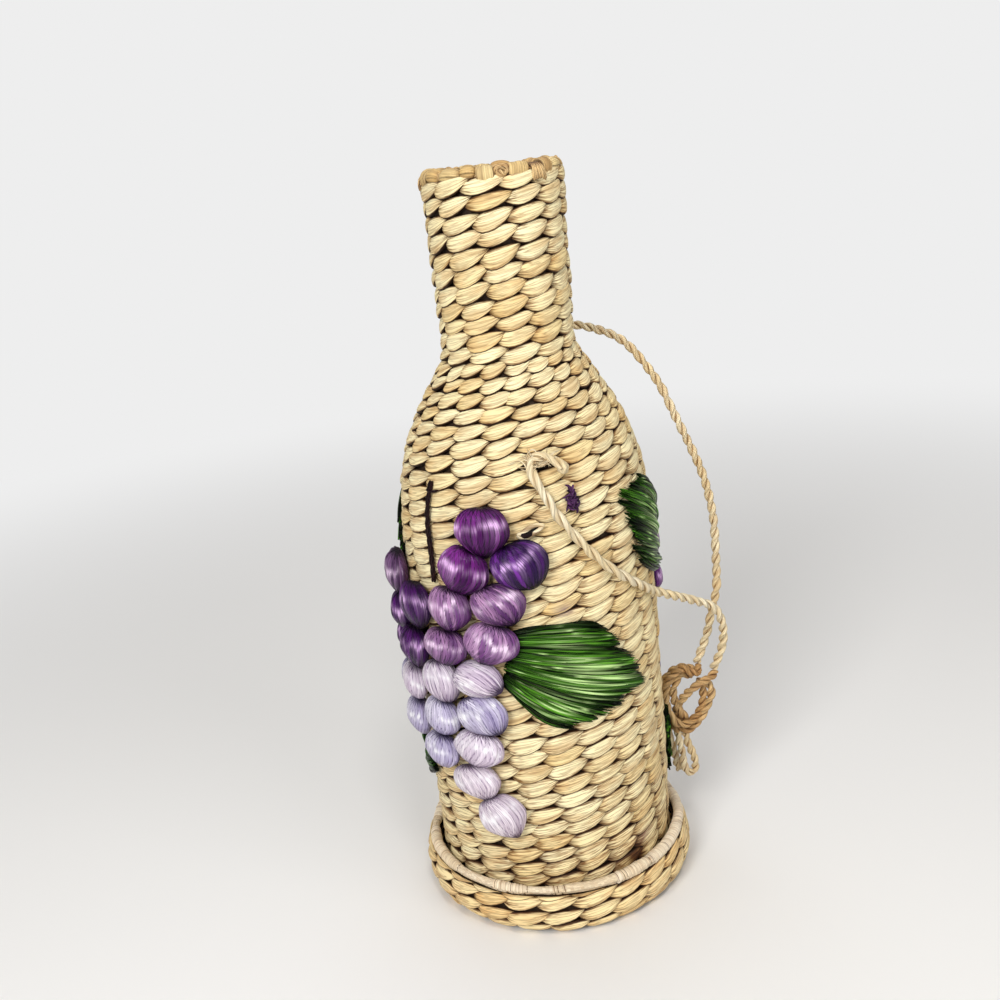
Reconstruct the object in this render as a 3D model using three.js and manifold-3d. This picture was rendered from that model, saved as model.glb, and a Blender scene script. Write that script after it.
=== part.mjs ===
// Bottle-shaped basket of twined rush, for carrying and hiding one bottle of wine.
// A woven cover with a narrow neck lowers over the bottle and stands in a shallow woven tray.
// Two bunches of raffia grapes with raffia leaves are sewn to the cover, on opposite sides.
// The cord handle starts in the tray, climbs inside the cover and leaves it by two holes.
// Millimetres, +Z up, origin at the centre of the tray's underside, front towards -Y.
// Azimuths are in degrees round the axis, from the front towards +X.

import * as THREE from "three";
import { mergeVertices } from "three/addons/utils/BufferGeometryUtils.js";
import Module from "manifold-3d";

const wasm = await Module();
wasm.setup();

// Gaps and tessellation
const seatGap = 0.35; // between two pieces that touch
const roundSides = 40; // flats round the cover and the tray
const cutOverrun = 3; // how far a cutting tool runs past the wall

// Woven cover
const overallHeight = 330;
const bodyRadius = 55.4; // all radii are outside
const footDraw = 1.2; // how far the body draws in to its foot, which stands in the tray
const footRadius = bodyRadius - footDraw;
const neckRadius = 28;
const mouthFlare = 1.2; // how far the neck opens towards the mouth
const mouthRadius = neckRadius + mouthFlare;
const bellyHeight = 60; // where the cover has reached its full width
const shoulderStart = 160;
const shoulderEnd = 256;
const shoulderSteps = 9;
const shoulderSwellShare = 3.4; // how late the shoulder turns in, a power
const shoulderFlareShare = 1.5; // how softly it runs into the neck, a power
const splitShare = 5 / 6; // of the shoulder's height, where the cover is divided into body and neck
const splitHeight = shoulderStart + splitShare * (shoulderEnd - shoulderStart);
const coverWall = 6;

// Folded border of the mouth
const borderHeight = 5;
const borderLip = 0.8; // how far the border stands proud of the neck, inside and out
const borderRound = 1.6;

// Woven tray
const trayWall = 5.4;
const trayGap = 2.4; // between the cover's foot and the tray's mouth
const trayMouthRadius = footRadius + trayGap + trayWall;
const trayBulge = 2; // how far the wall bulges past the mouth
const trayHeelInset = 3.4; // how far the wall draws in from the mouth to the foot
const trayBulgeRadius = trayMouthRadius + trayBulge;
const trayFootRadius = trayMouthRadius - trayHeelInset;
const trayBulgeHeight = 11;
const trayWallHeight = 19.3;
const trayFloor = 6;
const trayHeelRound = 3;

// Wrapped rim of the tray
const rimRadius = trayMouthRadius - trayWall / 2; // from the axis to the middle of the rim
const rimThickness = 5.6;
const rimSides = 8;

// Handle cord
const cordDiameter = 4;
const cordSides = 8;
const cordStepShare = 2.3; // a step of the tube, in diameters
const holeDiameter = 5.6;
const holeHeight = 212.7;
const holeAzimuth = 19.1;
const cordStubInside = 10; // how far the cord reaches in past the cover's outer face
const legInset = 5.7; // from the foot's inner face to the middle of a cord that climbs inside
const legRadius = footRadius - coverWall - legInset;
const legKnotRadius = 3.6;
const legKnotHeight = 6;

// Middle of the tray's floor, where the stakes cross and lie double: the bottle stands on it
const crossGap = 0.9; // between it and the cords' stopper knots
const crossRadius = legRadius - legKnotRadius - crossGap;
const crossRise = 1;
const knotWidth = 26.6;
const knotHeight = 38.4;
const knotThickness = 8.6;

// Grape bunch
const bunchFoot = 60.5; // height of the front bunch's lowest grape's middle
const bunchHeight = 128.5; // from there up to the highest grape's middle
const rearBunchTurn = 192; // from the front bunch round to the rear one, degrees
const rearBunchDrop = 9; // how much lower the rear bunch hangs
const grapeWidth = 21;
const grapeHeight = 17.6;
const grapeThickness = 10;
const grapeSunk = 1.8; // how much of the thickness the flat back takes off
const grapeGap = 0.5; // between two grapes
const grapeSides = 12;
const grapeRows = 6;
const settleRounds = 200;

// Leaves and stem
const leafThickness = 2.2;
const leafSeat = 0.8; // from the wall to the underside of a leaf, which is faceted
const leafRows = 8;
const leafArch = 3; // how far the first and last fibres bow outwards
const stemDiameter = 2.6;
const stemSides = 6;

// Each grape: azimuth, height as a share of the bunch's, width and height as shares of a grape's
const grapePlaceShares = [
  [-17, 1.0, 1.0, 1.1],
  [-28, 0.875, 1.0, 1.12],
  [-5, 0.905, 1.03, 1.06],
  [-79, 0.785, 0.95, 1.06],
  [-79, 0.64, 0.95, 0.92],
  [-57.5, 0.717, 0.95, 1.1],
  [-36, 0.746, 0.94, 1.05],
  [-14, 0.77, 1.04, 0.96],
  [-64, 0.545, 0.98, 1.0],
  [-41, 0.6, 1.02, 0.88],
  [-20, 0.628, 1.06, 1.0],
  [-70, 0.4, 0.96, 0.9],
  [-46, 0.465, 0.96, 1.0],
  [-26, 0.505, 1.02, 0.86],
  [-71, 0.258, 0.96, 0.94],
  [-48.5, 0.326, 0.96, 0.94],
  [-26, 0.37, 1.04, 0.98],
  [-51.5, 0.188, 0.95, 0.88],
  [-30, 0.242, 1.06, 0.92],
  [-31.5, 0.1, 1.05, 0.86],
  [-23, 0, 0.98, 1.08],
];

// Leaf outlines: azimuth, then height as a share of the bunch's, turning clockwise seen from outside
const rightLeafBaseShares = [[-6.8, 0.665], [-7.6, 0.61], [-9.6, 0.548], [-12.2, 0.478]];
const rightLeafTipShares = [
  [26, 0.65], [30.7, 0.611], [35.9, 0.568], [35.5, 0.539], [42.3, 0.506], [42.7, 0.483],
  [48.9, 0.441], [45.9, 0.425], [51.3, 0.377], [38.9, 0.368], [32.9, 0.341], [21.7, 0.318],
  [12.6, 0.323], [10.7, 0.3],
];
const upperLeafBaseShares = [[-94, 0.74], [-91.5, 0.8], [-91.5, 0.87], [-94.5, 0.95]];
const upperLeafTipShares = [
  [-137.1, 0.86], [-136, 0.905], [-142.5, 0.928], [-139, 0.975], [-144.1, 1.025],
  [-142, 1.055], [-149.7, 1.115], [-143, 1.122], [-137.2, 1.138], [-132, 1.13], [-128.2, 1.151],
];
const lowerLeafBaseShares = [[-67, 0.045], [-70.5, 0.08], [-75, 0.115], [-81, 0.15]];
const lowerLeafTipShares = [
  [-104, -0.06], [-103, -0.01], [-108, 0.01], [-105.5, 0.06], [-109, 0.1], [-105, 0.14], [-106, 0.18],
];
const stemPlaceShares = [[-45, 1.156], [-46.6, 1.09], [-46.8, 1.02], [-46.4, 0.93], [-46.6, 0.815]];

// The cord's route from the front hole over the wall, and down through the air to the knot
const frontCordRoute = [
  [16.2, -52.0, 213.0], [17.2, -54.4, 213.6], [14.9, -51.9, 215.2], [11.0, -50.6, 217.2],
  [7.2, -50.6, 218.2], [4.2, -51.0, 217.6], [4.0, -52.7, 213.4], [5.6, -54.6, 208.6],
  [8.6, -55.6, 203.0], [12.3, -55.9, 195.2], [17.5, -55.0, 187.0], [22.9, -53.6, 179.2],
  [29.0, -50.8, 171.4], [35.3, -46.6, 164.4], [41.8, -40.5, 157.6], [47.4, -33.6, 151.6],
  [52.6, -26.2, 146.0], [59.2, -20.4, 141.2], [66.4, -15.0, 136.8], [74.8, -8.2, 130.8],
  [81.0, -3.4, 126.2], [85.2, -0.2, 118.6], [86.6, 2.4, 109.8], [85.6, 4.8, 100.4],
  [81.7, 7.8, 88.6],
];

// The cord's route from the rear hole, up behind the neck, over and down to the knot
const rearCordRoute = [
  [-17.6, 50.8, 213.0], [-18.5, 53.8, 214.4], [-17.2, 55.6, 219.0], [-13.0, 55.6, 227.0],
  [-6.0, 53.4, 236.2], [3.4, 49.4, 244.6], [13.6, 44.8, 250.8], [23.6, 40.4, 254.4],
  [32.8, 37.4, 254.9], [39.5, 36.2, 253.0], [48.4, 35.5, 248.9], [54.9, 35.0, 243.7],
  [62.4, 34.0, 233.7], [68.1, 32.5, 223.9], [72.0, 31.0, 214.3], [75.8, 29.0, 204.8],
  [80.5, 27.0, 192.7], [84.6, 24.5, 180.7], [86.8, 22.0, 168.9], [87.7, 19.5, 157.2],
  [87.2, 16.0, 141.0], [86.0, 13.0, 127.0], [82.8, 11.0, 116.9], [80.8, 10.0, 109.3],
  [77.8, 9.0, 101.2], [74.1, 8.2, 92.6],
];

const knotMiddle = [72.6, 8.0, 72.6];
const tailRoute = [
  [66.6, 8.0, 58.4], [67.0, 8.0, 45.0], [68.0, 8.0, 37.6], [70.9, 8.0, 33.6],
  [73.8, 8.0, 37.6], [73.6, 8.0, 45.0], [72.4, 8.0, 57.6],
];

// Colours
const rushColour = 0xdcc294;
const borderColour = 0xcdb07c;
const cordColour = 0xd9bd84;
const leafColour = 0x1d5a1c;
const stemColour = 0x2a1a1c;
const grapeColours = [0x5c2a78, 0x5c2a78, 0x4a2a80, 0x7c6488, 0x4a2868, 0x583070, 0x9a6aa4];
const paleGrapeColour = 0xc4b8d0;
const midGrapeColour = 0x8c5a96;
const midGrapes = 4; // grapes after the first seven that are mauve; the rest are pale

// Outer radius of the woven cover at a height
function coverRadius(height) {
  if (height <= bellyHeight) {
    return THREE.MathUtils.mapLinear(height, 0, bellyHeight, footRadius, bodyRadius);
  }
  if (height <= shoulderStart) {
    return bodyRadius;
  }
  if (height <= shoulderEnd) {
    const climbShare = (height - shoulderStart) / (shoulderEnd - shoulderStart);
    const fullShare = (1 - climbShare ** shoulderSwellShare) ** shoulderFlareShare;
    return neckRadius + (bodyRadius - neckRadius) * fullShare;
  }
  return THREE.MathUtils.mapLinear(height, shoulderEnd, overallHeight, neckRadius, mouthRadius);
}

function radians(degrees) {
  return THREE.MathUtils.degToRad(degrees);
}

// A point at an azimuth and height, at a distance from the axis
function aroundAxis(azimuth, radius, height) {
  return new THREE.Vector3(
    radius * Math.sin(radians(azimuth)),
    -radius * Math.cos(radians(azimuth)),
    height,
  );
}

// Height of a place in a bunch, by its share of the bunch's height above the bunch's foot
function bunchLevel(foot, share) {
  return foot + share * bunchHeight;
}

// Turned body from a profile of [radius, height] pairs
function turned(profile, sides = roundSides) {
  const points = profile.map(([radius, height]) => new THREE.Vector2(radius, height));
  return new THREE.LatheGeometry(points, sides).rotateX(Math.PI / 2);
}

// Tube of a regular section along a curve
function tube(curve, diameter, sides) {
  const corners = Array.from({ length: sides }, (_, i) => {
    const turn = (2 * Math.PI * i) / sides;
    return new THREE.Vector2(Math.cos(turn), Math.sin(turn)).multiplyScalar(diameter / 2);
  });
  const steps = Math.max(2, Math.round(curve.getLength() / (cordStepShare * diameter)));
  return new THREE.ExtrudeGeometry(new THREE.Shape(corners), {
    steps,
    extrudePath: curve,
    bevelEnabled: false,
  });
}

function smoothCurve(points) {
  return new THREE.CatmullRomCurve3(points.map((point) => new THREE.Vector3(...point)), false, "centripetal");
}

function toSolid(geometry) {
  const bare = geometry.clone();
  bare.deleteAttribute("normal");
  bare.deleteAttribute("uv");
  const welded = mergeVertices(bare);
  return new wasm.Manifold(new wasm.Mesh({
    numProp: 3,
    vertProperties: new Float32Array(welded.attributes.position.array),
    triVerts: new Uint32Array(welded.index.array),
  }));
}

function toGeometry(solid) {
  const mesh = solid.getMesh();
  const geometry = new THREE.BufferGeometry();
  geometry.setAttribute("position", new THREE.BufferAttribute(new Float32Array(mesh.vertProperties), 3));
  geometry.setIndex(new THREE.BufferAttribute(new Uint32Array(mesh.triVerts), 1));
  geometry.computeVertexNormals();
  return geometry;
}

function piece(name, geometry, color, roughness) {
  const mesh = new THREE.Mesh(geometry, new THREE.MeshStandardMaterial({ color, roughness, metalness: 0 }));
  mesh.name = name;
  return mesh;
}

// Woven cover between two heights: an open shell with the two cord holes cut through it
function coverGeometry(bottom, top) {
  const shoulder = Array.from({ length: shoulderSteps + 1 }, (_, i) =>
    THREE.MathUtils.lerp(shoulderStart, shoulderEnd, i / shoulderSteps));
  const between = [bellyHeight, ...shoulder].filter((level) => level > bottom && level < top);
  const levels = [bottom, ...between, top];
  const outside = levels.map((level) => [coverRadius(level), level]);
  const inside = levels.map((level) => [coverRadius(level) - coverWall, level]).reverse();
  let shell = toSolid(turned([...outside, ...inside, outside[0]]));
  const drill = new THREE.CylinderGeometry(
    holeDiameter / 2, holeDiameter / 2, coverWall + 2 * cutOverrun, cordSides,
  );
  for (const azimuth of [holeAzimuth, holeAzimuth + 180]) {
    const middle = aroundAxis(azimuth, coverRadius(holeHeight) - coverWall / 2, holeHeight);
    const cutter = drill.clone();
    cutter.rotateZ(radians(azimuth)).translate(middle.x, middle.y, middle.z);
    shell = shell.subtract(toSolid(cutter));
  }
  return toGeometry(shell);
}

// Folded border round the mouth
function borderGeometry() {
  const low = overallHeight - borderHeight;
  const outer = mouthRadius + borderLip;
  const inner = mouthRadius - coverWall - borderLip;
  return turned([
    [inner + borderRound, low], [outer - borderRound, low],
    [outer, low + borderRound], [outer, overallHeight - borderRound],
    [outer - borderRound, overallHeight], [inner + borderRound, overallHeight],
    [inner, overallHeight - borderRound], [inner, low + borderRound],
    [inner + borderRound, low],
  ]);
}

// Woven tray: a floor, thicker in the middle, and a bulging wall, open at the top
function trayGeometry() {
  const bulgeTop = (trayBulgeHeight + trayWallHeight) / 2;
  return turned([
    [0, 0],
    [trayFootRadius, 0],
    [(trayFootRadius + trayBulgeRadius) / 2, trayHeelRound],
    [trayBulgeRadius, trayBulgeHeight],
    [(trayBulgeRadius + trayMouthRadius) / 2, bulgeTop],
    [trayMouthRadius, trayWallHeight],
    [trayMouthRadius - trayWall, trayWallHeight],
    [trayBulgeRadius - trayWall, trayBulgeHeight],
    [trayFootRadius - trayHeelRound / 2, trayFloor],
    [crossRadius, trayFloor],
    [crossRadius, trayFloor + crossRise],
    [0, trayFloor + crossRise],
  ]);
}

function rimGeometry() {
  const ring = new THREE.TorusGeometry(rimRadius, rimThickness / 2, rimSides, roundSides);
  return ring.translate(0, 0, trayWallHeight + seatGap + rimThickness / 2);
}

// Grape: a flattened ball with its back cut flat, poles up, front towards -Y
function grapeGeometry(width, height) {
  const ball = new THREE.SphereGeometry(1, grapeSides, grapeRows).rotateX(Math.PI / 2);
  ball.scale(width / 2, grapeThickness / 2, height / 2);
  const backDepth = grapeThickness / 2 - grapeSunk;
  const corners = ball.attributes.position;
  for (let i = 0; i < corners.count; i += 1) {
    corners.setY(i, Math.min(corners.getY(i), backDepth));
  }
  return ball;
}

// Grapes of a bunch, pushed apart along the wall until none touches another
function settledGrapes(foot) {
  const reach = bodyRadius + grapeThickness / 2;
  const grapes = grapePlaceShares.map(([azimuth, heightShare, widthShare, tallShare]) => ({
    along: radians(azimuth) * reach,
    height: bunchLevel(foot, heightShare),
    width: widthShare * grapeWidth,
    tall: tallShare * grapeHeight,
  }));
  for (let round = 0; round < settleRounds; round += 1) {
    grapes.forEach((first, i) => {
      grapes.slice(i + 1).forEach((second) => {
        const apart = new THREE.Vector2(second.along - first.along, second.height - first.height);
        const distance = apart.length();
        const way = apart.divideScalar(distance);
        const halfOf = (grape) => Math.hypot(way.x * grape.width, way.y * grape.tall) / 2;
        const push = Math.max(0, halfOf(first) + halfOf(second) + grapeGap - distance) / 2;
        first.along -= push * way.x;
        first.height -= push * way.y;
        second.along += push * way.x;
        second.height += push * way.y;
      });
    });
  }
  return grapes.map((grape) => ({ ...grape, azimuth: THREE.MathUtils.radToDeg(grape.along / reach) }));
}

function grapeColour(index) {
  if (index < grapeColours.length) {
    return grapeColours[index];
  }
  return index < grapeColours.length + midGrapes ? midGrapeColour : paleGrapeColour;
}

// A place on a line of [azimuth, height share] pairs, by its share of the line's pairs
function alongPairs(pairs, share) {
  const at = share * (pairs.length - 1);
  const low = Math.min(Math.floor(at), pairs.length - 2);
  const mix = (column) => THREE.MathUtils.lerp(pairs[low][column], pairs[low + 1][column], at - low);
  return [mix(0), mix(1)];
}

// Leaf: a thin slab that follows the wall, its fibres running from base to tips
function leafGeometry(foot, baseShares, tipShares) {
  const positions = [];
  const faces = [];
  const columns = tipShares.length;
  const corner = (column, row, upper) => (column * (leafRows + 1) + row) * 2 + upper;
  tipShares.forEach(([tipAzimuth, tipShare], column) => {
    const across = column / (columns - 1);
    const [baseAzimuth, baseShare] = alongPairs(baseShares, across);
    for (let row = 0; row <= leafRows; row += 1) {
      const out = row / leafRows;
      const azimuth = THREE.MathUtils.lerp(baseAzimuth, tipAzimuth, out);
      const bow = leafArch * 4 * out * (1 - out) * (1 - 2 * across);
      const rising = Math.sign(tipShares[0][0] - baseShares[0][0]);
      const height = bunchLevel(foot, THREE.MathUtils.lerp(baseShare, tipShare, out)) + rising * bow;
      for (const upper of [0, 1]) {
        const radius = coverRadius(height) + leafSeat + upper * leafThickness;
        positions.push(...aroundAxis(azimuth, radius, height).toArray());
      }
    }
  });
  const quad = (a, b, c, d) => faces.push(a, b, c, a, c, d);
  for (let column = 0; column < columns - 1; column += 1) {
    for (let row = 0; row < leafRows; row += 1) {
      const around = [[column, row], [column + 1, row], [column + 1, row + 1], [column, row + 1]];
      const outside = around.map(([c, r]) => corner(c, r, 1));
      const wallSide = around.map(([c, r]) => corner(c, r, 0)).reverse();
      quad(...outside);
      quad(...wallSide);
    }
    quad(corner(column, 0, 1), corner(column, 0, 0), corner(column + 1, 0, 0), corner(column + 1, 0, 1));
    quad(
      corner(column + 1, leafRows, 1), corner(column + 1, leafRows, 0),
      corner(column, leafRows, 0), corner(column, leafRows, 1),
    );
  }
  for (let row = 0; row < leafRows; row += 1) {
    quad(corner(0, row + 1, 1), corner(0, row + 1, 0), corner(0, row, 0), corner(0, row, 1));
    const last = columns - 1;
    quad(corner(last, row, 1), corner(last, row, 0), corner(last, row + 1, 0), corner(last, row + 1, 1));
  }
  const geometry = new THREE.BufferGeometry();
  geometry.setAttribute("position", new THREE.Float32BufferAttribute(positions, 3));
  geometry.setIndex(faces);
  geometry.computeVertexNormals();
  return geometry;
}

// Stem: a doubled strand of raffia that lies on the wall above the bunch
function stemGeometry(foot) {
  const clear = seatGap + stemDiameter / 2;
  const points = stemPlaceShares.map(([azimuth, share]) => {
    const height = bunchLevel(foot, share);
    return aroundAxis(azimuth, coverRadius(height) + clear, height).toArray();
  });
  return tube(smoothCurve(points), stemDiameter, stemSides);
}

// One bunch with its grapes, stem and three leaves, its foot at a height, turned about the axis by degrees
function bunch(side, foot, turn) {
  const group = new THREE.Group();
  group.rotation.z = radians(turn);
  settledGrapes(foot).forEach((grape, index) => {
    const name = `${side}_grape_${String(index + 1).padStart(2, "0")}`;
    const mesh = piece(name, grapeGeometry(grape.width, grape.tall), grapeColour(index), 0.35);
    const seat = coverRadius(grape.height - grape.tall / 2) + seatGap;
    const radius = seat + grapeThickness / 2 - grapeSunk;
    mesh.position.copy(aroundAxis(grape.azimuth, radius, grape.height));
    mesh.rotation.z = radians(grape.azimuth);
    group.add(mesh);
  });
  group.add(piece(`${side}_stem`, stemGeometry(foot), stemColour, 0.6));
  const leaves = {
    leaf_right: [rightLeafBaseShares, rightLeafTipShares],
    leaf_upper: [upperLeafBaseShares, upperLeafTipShares],
    leaf_lower: [lowerLeafBaseShares, lowerLeafTipShares],
  };
  for (const [name, outline] of Object.entries(leaves)) {
    group.add(piece(`${side}_${name}`, leafGeometry(foot, ...outline), leafColour, 0.4));
  }
  return group;
}

// The cord's free run from a hole: a straight stub through the wall, then its route
function handleCord(azimuth, route) {
  const outer = coverRadius(holeHeight);
  const stub = [outer - cordStubInside, outer - cordStubInside / 2, outer];
  const start = stub.map((radius) => aroundAxis(azimuth, radius, holeHeight).toArray());
  return tube(smoothCurve([...start, ...route]), cordDiameter, cordSides);
}

// The cord's hidden run: a stopper knot on the tray's floor and a straight climb to the hole
function innerCord(azimuth) {
  const foot = trayFloor + seatGap;
  const top = holeHeight - cordDiameter / 2 - seatGap;
  const strand = cordDiameter / 2;
  const post = turned([
    [0, foot],
    [strand, foot],
    [legKnotRadius, foot + legKnotHeight / 3],
    [legKnotRadius, foot + (2 * legKnotHeight) / 3],
    [strand, foot + legKnotHeight],
    [strand, top],
    [0, top],
  ], cordSides);
  const place = aroundAxis(azimuth, legRadius, 0);
  return post.translate(place.x, place.y, place.z);
}

// Knot that ties the two runs together, drawn as one thick oval ring with the folded tail below it
function knotGeometry() {
  const ring = new THREE.TorusGeometry((knotWidth - knotThickness) / 2, knotThickness / 2, cordSides, 2 * cordSides);
  ring.rotateX(Math.PI / 2).scale(1, 1, knotHeight / knotWidth);
  const tail = tube(smoothCurve(tailRoute), cordDiameter, cordSides);
  return toGeometry(toSolid(ring.translate(...knotMiddle)).add(toSolid(tail)));
}

const borderFoot = overallHeight - borderHeight;
const basket = new THREE.Group();
basket.add(
  piece("base_tray", trayGeometry(), rushColour, 0.8),
  piece("tray_rim", rimGeometry(), borderColour, 0.8),
  piece("cover_body", coverGeometry(trayFloor + seatGap, splitHeight), rushColour, 0.8),
  piece("cover_neck", coverGeometry(splitHeight + seatGap, borderFoot - seatGap), rushColour, 0.8),
  piece("mouth_border", borderGeometry(), borderColour, 0.8),
  bunch("front", bunchFoot, 0),
  bunch("rear", bunchFoot - rearBunchDrop, rearBunchTurn),
  piece("handle_cord_front", handleCord(holeAzimuth, frontCordRoute), cordColour, 0.75),
  piece("handle_cord_rear", handleCord(holeAzimuth + 180, rearCordRoute), cordColour, 0.75),
  piece("handle_knot", knotGeometry(), cordColour, 0.75),
  piece("inner_cord_front", innerCord(holeAzimuth), cordColour, 0.75),
  piece("inner_cord_rear", innerCord(holeAzimuth + 180), cordColour, 0.75),
);

export default basket;
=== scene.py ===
"""Looks of a bottle-shaped basket of twined rush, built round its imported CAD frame.

Blender works in metres in the row frame. Apart from the studio's, sizes here are in millimetres and are
turned to metres where a mesh is made. Azimuths are in degrees round the axis, from the front, which is
towards -Y, to the right, which is towards +X.
"""

import logging
import math
from collections.abc import Sequence
from dataclasses import dataclass
from enum import Enum

import bpy
import numpy as np
from mathutils import Matrix, Vector


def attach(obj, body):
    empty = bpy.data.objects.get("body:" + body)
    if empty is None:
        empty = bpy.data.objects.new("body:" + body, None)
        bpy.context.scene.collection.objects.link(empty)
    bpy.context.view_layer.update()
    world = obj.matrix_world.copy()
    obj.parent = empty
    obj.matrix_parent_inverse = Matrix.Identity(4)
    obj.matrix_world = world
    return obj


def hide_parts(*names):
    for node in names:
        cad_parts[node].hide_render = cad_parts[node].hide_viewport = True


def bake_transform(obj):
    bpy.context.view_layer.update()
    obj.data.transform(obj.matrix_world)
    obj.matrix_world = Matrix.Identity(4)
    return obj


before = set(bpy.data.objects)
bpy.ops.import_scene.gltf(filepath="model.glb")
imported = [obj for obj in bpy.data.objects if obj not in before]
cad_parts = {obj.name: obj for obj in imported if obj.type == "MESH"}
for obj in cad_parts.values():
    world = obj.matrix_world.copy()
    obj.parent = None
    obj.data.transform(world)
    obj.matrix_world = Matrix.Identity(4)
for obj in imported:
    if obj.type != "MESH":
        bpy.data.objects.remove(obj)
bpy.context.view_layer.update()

LOG = logging.getLogger("wine_bottle_basket")
MM = 0.001
PI = math.pi
Array = np.ndarray
Point = tuple[float, float, float]
Pairs = tuple[tuple[float, float], ...]
Material = bpy.types.Material


# Sums


def linear(code: str) -> tuple[float, ...]:
    """Turns an sRGB colour of six hex digits into Blender's linear colour with an alpha of 1."""
    parts = [int(code[i : i + 2], 16) / 255 for i in (0, 2, 4)]
    return *(p / 12.92 if p <= 0.04045 else ((p + 0.055) / 1.055) ** 2.4 for p in parts), 1.0


def ramp(value: Array | float, start: float, end: float) -> Array:
    """How far values have come from start to end, from 0 to 1."""
    return np.clip((value - start) / (end - start), 0, 1)


def bell(value: Array, width: float) -> Array:
    """A smooth bump, 1 at 0 and falling away over a width."""
    return np.exp(-((value / width) ** 2))


def each(values: Sequence[float] | Array) -> Array:
    """Sets out one value for each tube of a batch, to spread over its rings and corners."""
    return np.asarray(values, float)[:, None, None]


def around(count: int) -> Array:
    """Angles spread evenly round a circle, in radians."""
    return np.linspace(0, 2 * PI, count, endpoint=False)


def round_axis(azimuth: Array | float, radius: Array | float, height: Array | float) -> Array:
    """Points in mm, with x, y and z last, at azimuths in degrees, distances from the axis and heights."""
    turn = np.radians(azimuth)
    return np.stack(np.broadcast_arrays(radius * np.sin(turn), -radius * np.cos(turn), height), -1)


# Meshes


class Tubes:
    """A batch of closed tubes that share one grid, indexed by tube, ring and corner."""

    def __init__(self, rings: Array, fibre: Sequence[object], shade: Sequence[object], looped: bool = False) -> None:
        """Gathers the batch from parts that spread over its grid.

        Args:
            rings: The corners in mm, with x, y and z last.
            fibre: Lengths along and across the fibre in mm, and a number for each tube.
            shade: Tint from 0 to 1, painted shade where a strand turns towards an edge or a gap from 0 to 2, and the
                share of a third colour from 0 to 1, which is a dye mark on the rush and a painted highlight on the
                raffia.
            looped: Whether the last ring joins the first.
        """

        def lay(rows: Sequence[object]) -> Array:
            """Spreads values over the grid."""
            return np.stack([np.broadcast_to(row, rings.shape[:3]) for row in rows], -1)

        self.rings, self.looped = rings, looped
        self.fibre, self.shade = lay(fibre), np.clip(lay(shade), 0, (1, 2, 1))

    def part(self, keep: Array) -> "Tubes":
        """Gives a batch of the tubes that a mask keeps."""
        fibre, shade = (np.moveaxis(grid[keep], -1, 0) for grid in (self.fibre, self.shade))
        return Tubes(self.rings[keep], fibre, shade, self.looped)

    def faces(self) -> tuple[Array, Array]:
        """Makes the faces, which look outwards.

        Returns:
            The quads, and the end caps with as many corners as a ring.
        """
        count, rings, corners = self.rings.shape[:3]
        tube, corner = np.arange(count)[:, None, None] * rings * corners, np.arange(corners)
        ring = np.arange(rings if self.looped else rings - 1)[:, None]
        near, far = tube + ring * corners, tube + (ring + 1) % rings * corners
        beside = (corner + 1) % corners
        quads = np.stack([near + corner, near + beside, far + beside, far + corner], -1).reshape(-1, 4)
        cap = corner + tube[:, :, 0]
        caps = np.concatenate([cap[:, ::-1], cap + (rings - 1) * corners])
        points = self.rings.reshape(-1, 3)
        a, b, c, d = (points[quads[:, i]] - points.mean(0) for i in range(4))
        if (np.cross(a, b) * c).sum() + (np.cross(a, c) * d).sum() < 0:
            quads, caps = quads[:, ::-1], caps[:, ::-1]
        return quads, caps[:0] if self.looped else caps


def mesh_from(name: str, batches: Sequence[Tubes]) -> bpy.types.Mesh:
    """Joins batches of tubes into one mesh with the attributes fibre, shade and sheen, the way across.

    Args:
        name: The mesh's name.
        batches: The batches, in mm.

    Returns:
        The mesh, in metres, with smooth faces.
    """
    across = [np.roll(b.rings, -1, 2) - np.roll(b.rings, 1, 2) for b in batches]
    across = [v / np.linalg.norm(v, axis=-1, keepdims=True).clip(1e-9) for v in across]
    starts = np.cumsum([0] + [b.rings[..., 0].size for b in batches])
    faces = [part + start for b, start in zip(batches, starts) for part in b.faces()]
    corner = np.concatenate([part.ravel() for part in faces])
    size = np.concatenate([np.full(len(part), part.shape[1]) for part in faces])

    def flat(rows: Sequence[Array]) -> Array:
        """Strings the values of all batches together."""
        return np.concatenate([row.reshape(-1, 3) for row in rows]).ravel().astype(np.float32)

    mesh = bpy.data.meshes.new(name)
    mesh.vertices.add(int(starts[-1]))
    mesh.vertices.foreach_set("co", flat([b.rings * MM for b in batches]))
    mesh.loops.add(len(corner))
    mesh.loops.foreach_set("vertex_index", corner.astype(np.int32))
    mesh.polygons.add(len(size))
    mesh.polygons.foreach_set("loop_start", (np.cumsum(size) - size).astype(np.int32))
    mesh.polygons.foreach_set("loop_total", size.astype(np.int32))
    mesh.polygons.foreach_set("use_smooth", np.ones(len(size), bool))
    rows = {"fibre": [b.fibre for b in batches], "shade": [b.shade for b in batches], "sheen": across}
    for key, values in rows.items():
        mesh.attributes.new(key, "FLOAT_VECTOR", "POINT").data.foreach_set("vector", flat(values))
    mesh.update(calc_edges=True)
    mesh.validate()
    return mesh


def link(name: str, data: bpy.types.ID) -> bpy.types.Object:
    """Puts an object into the scene.

    Args:
        name: The object's name.
        data: Its mesh, lamp or camera.

    Returns:
        The object.
    """
    thing = bpy.data.objects.new(name, data)
    bpy.context.scene.collection.objects.link(thing)
    return thing


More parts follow.
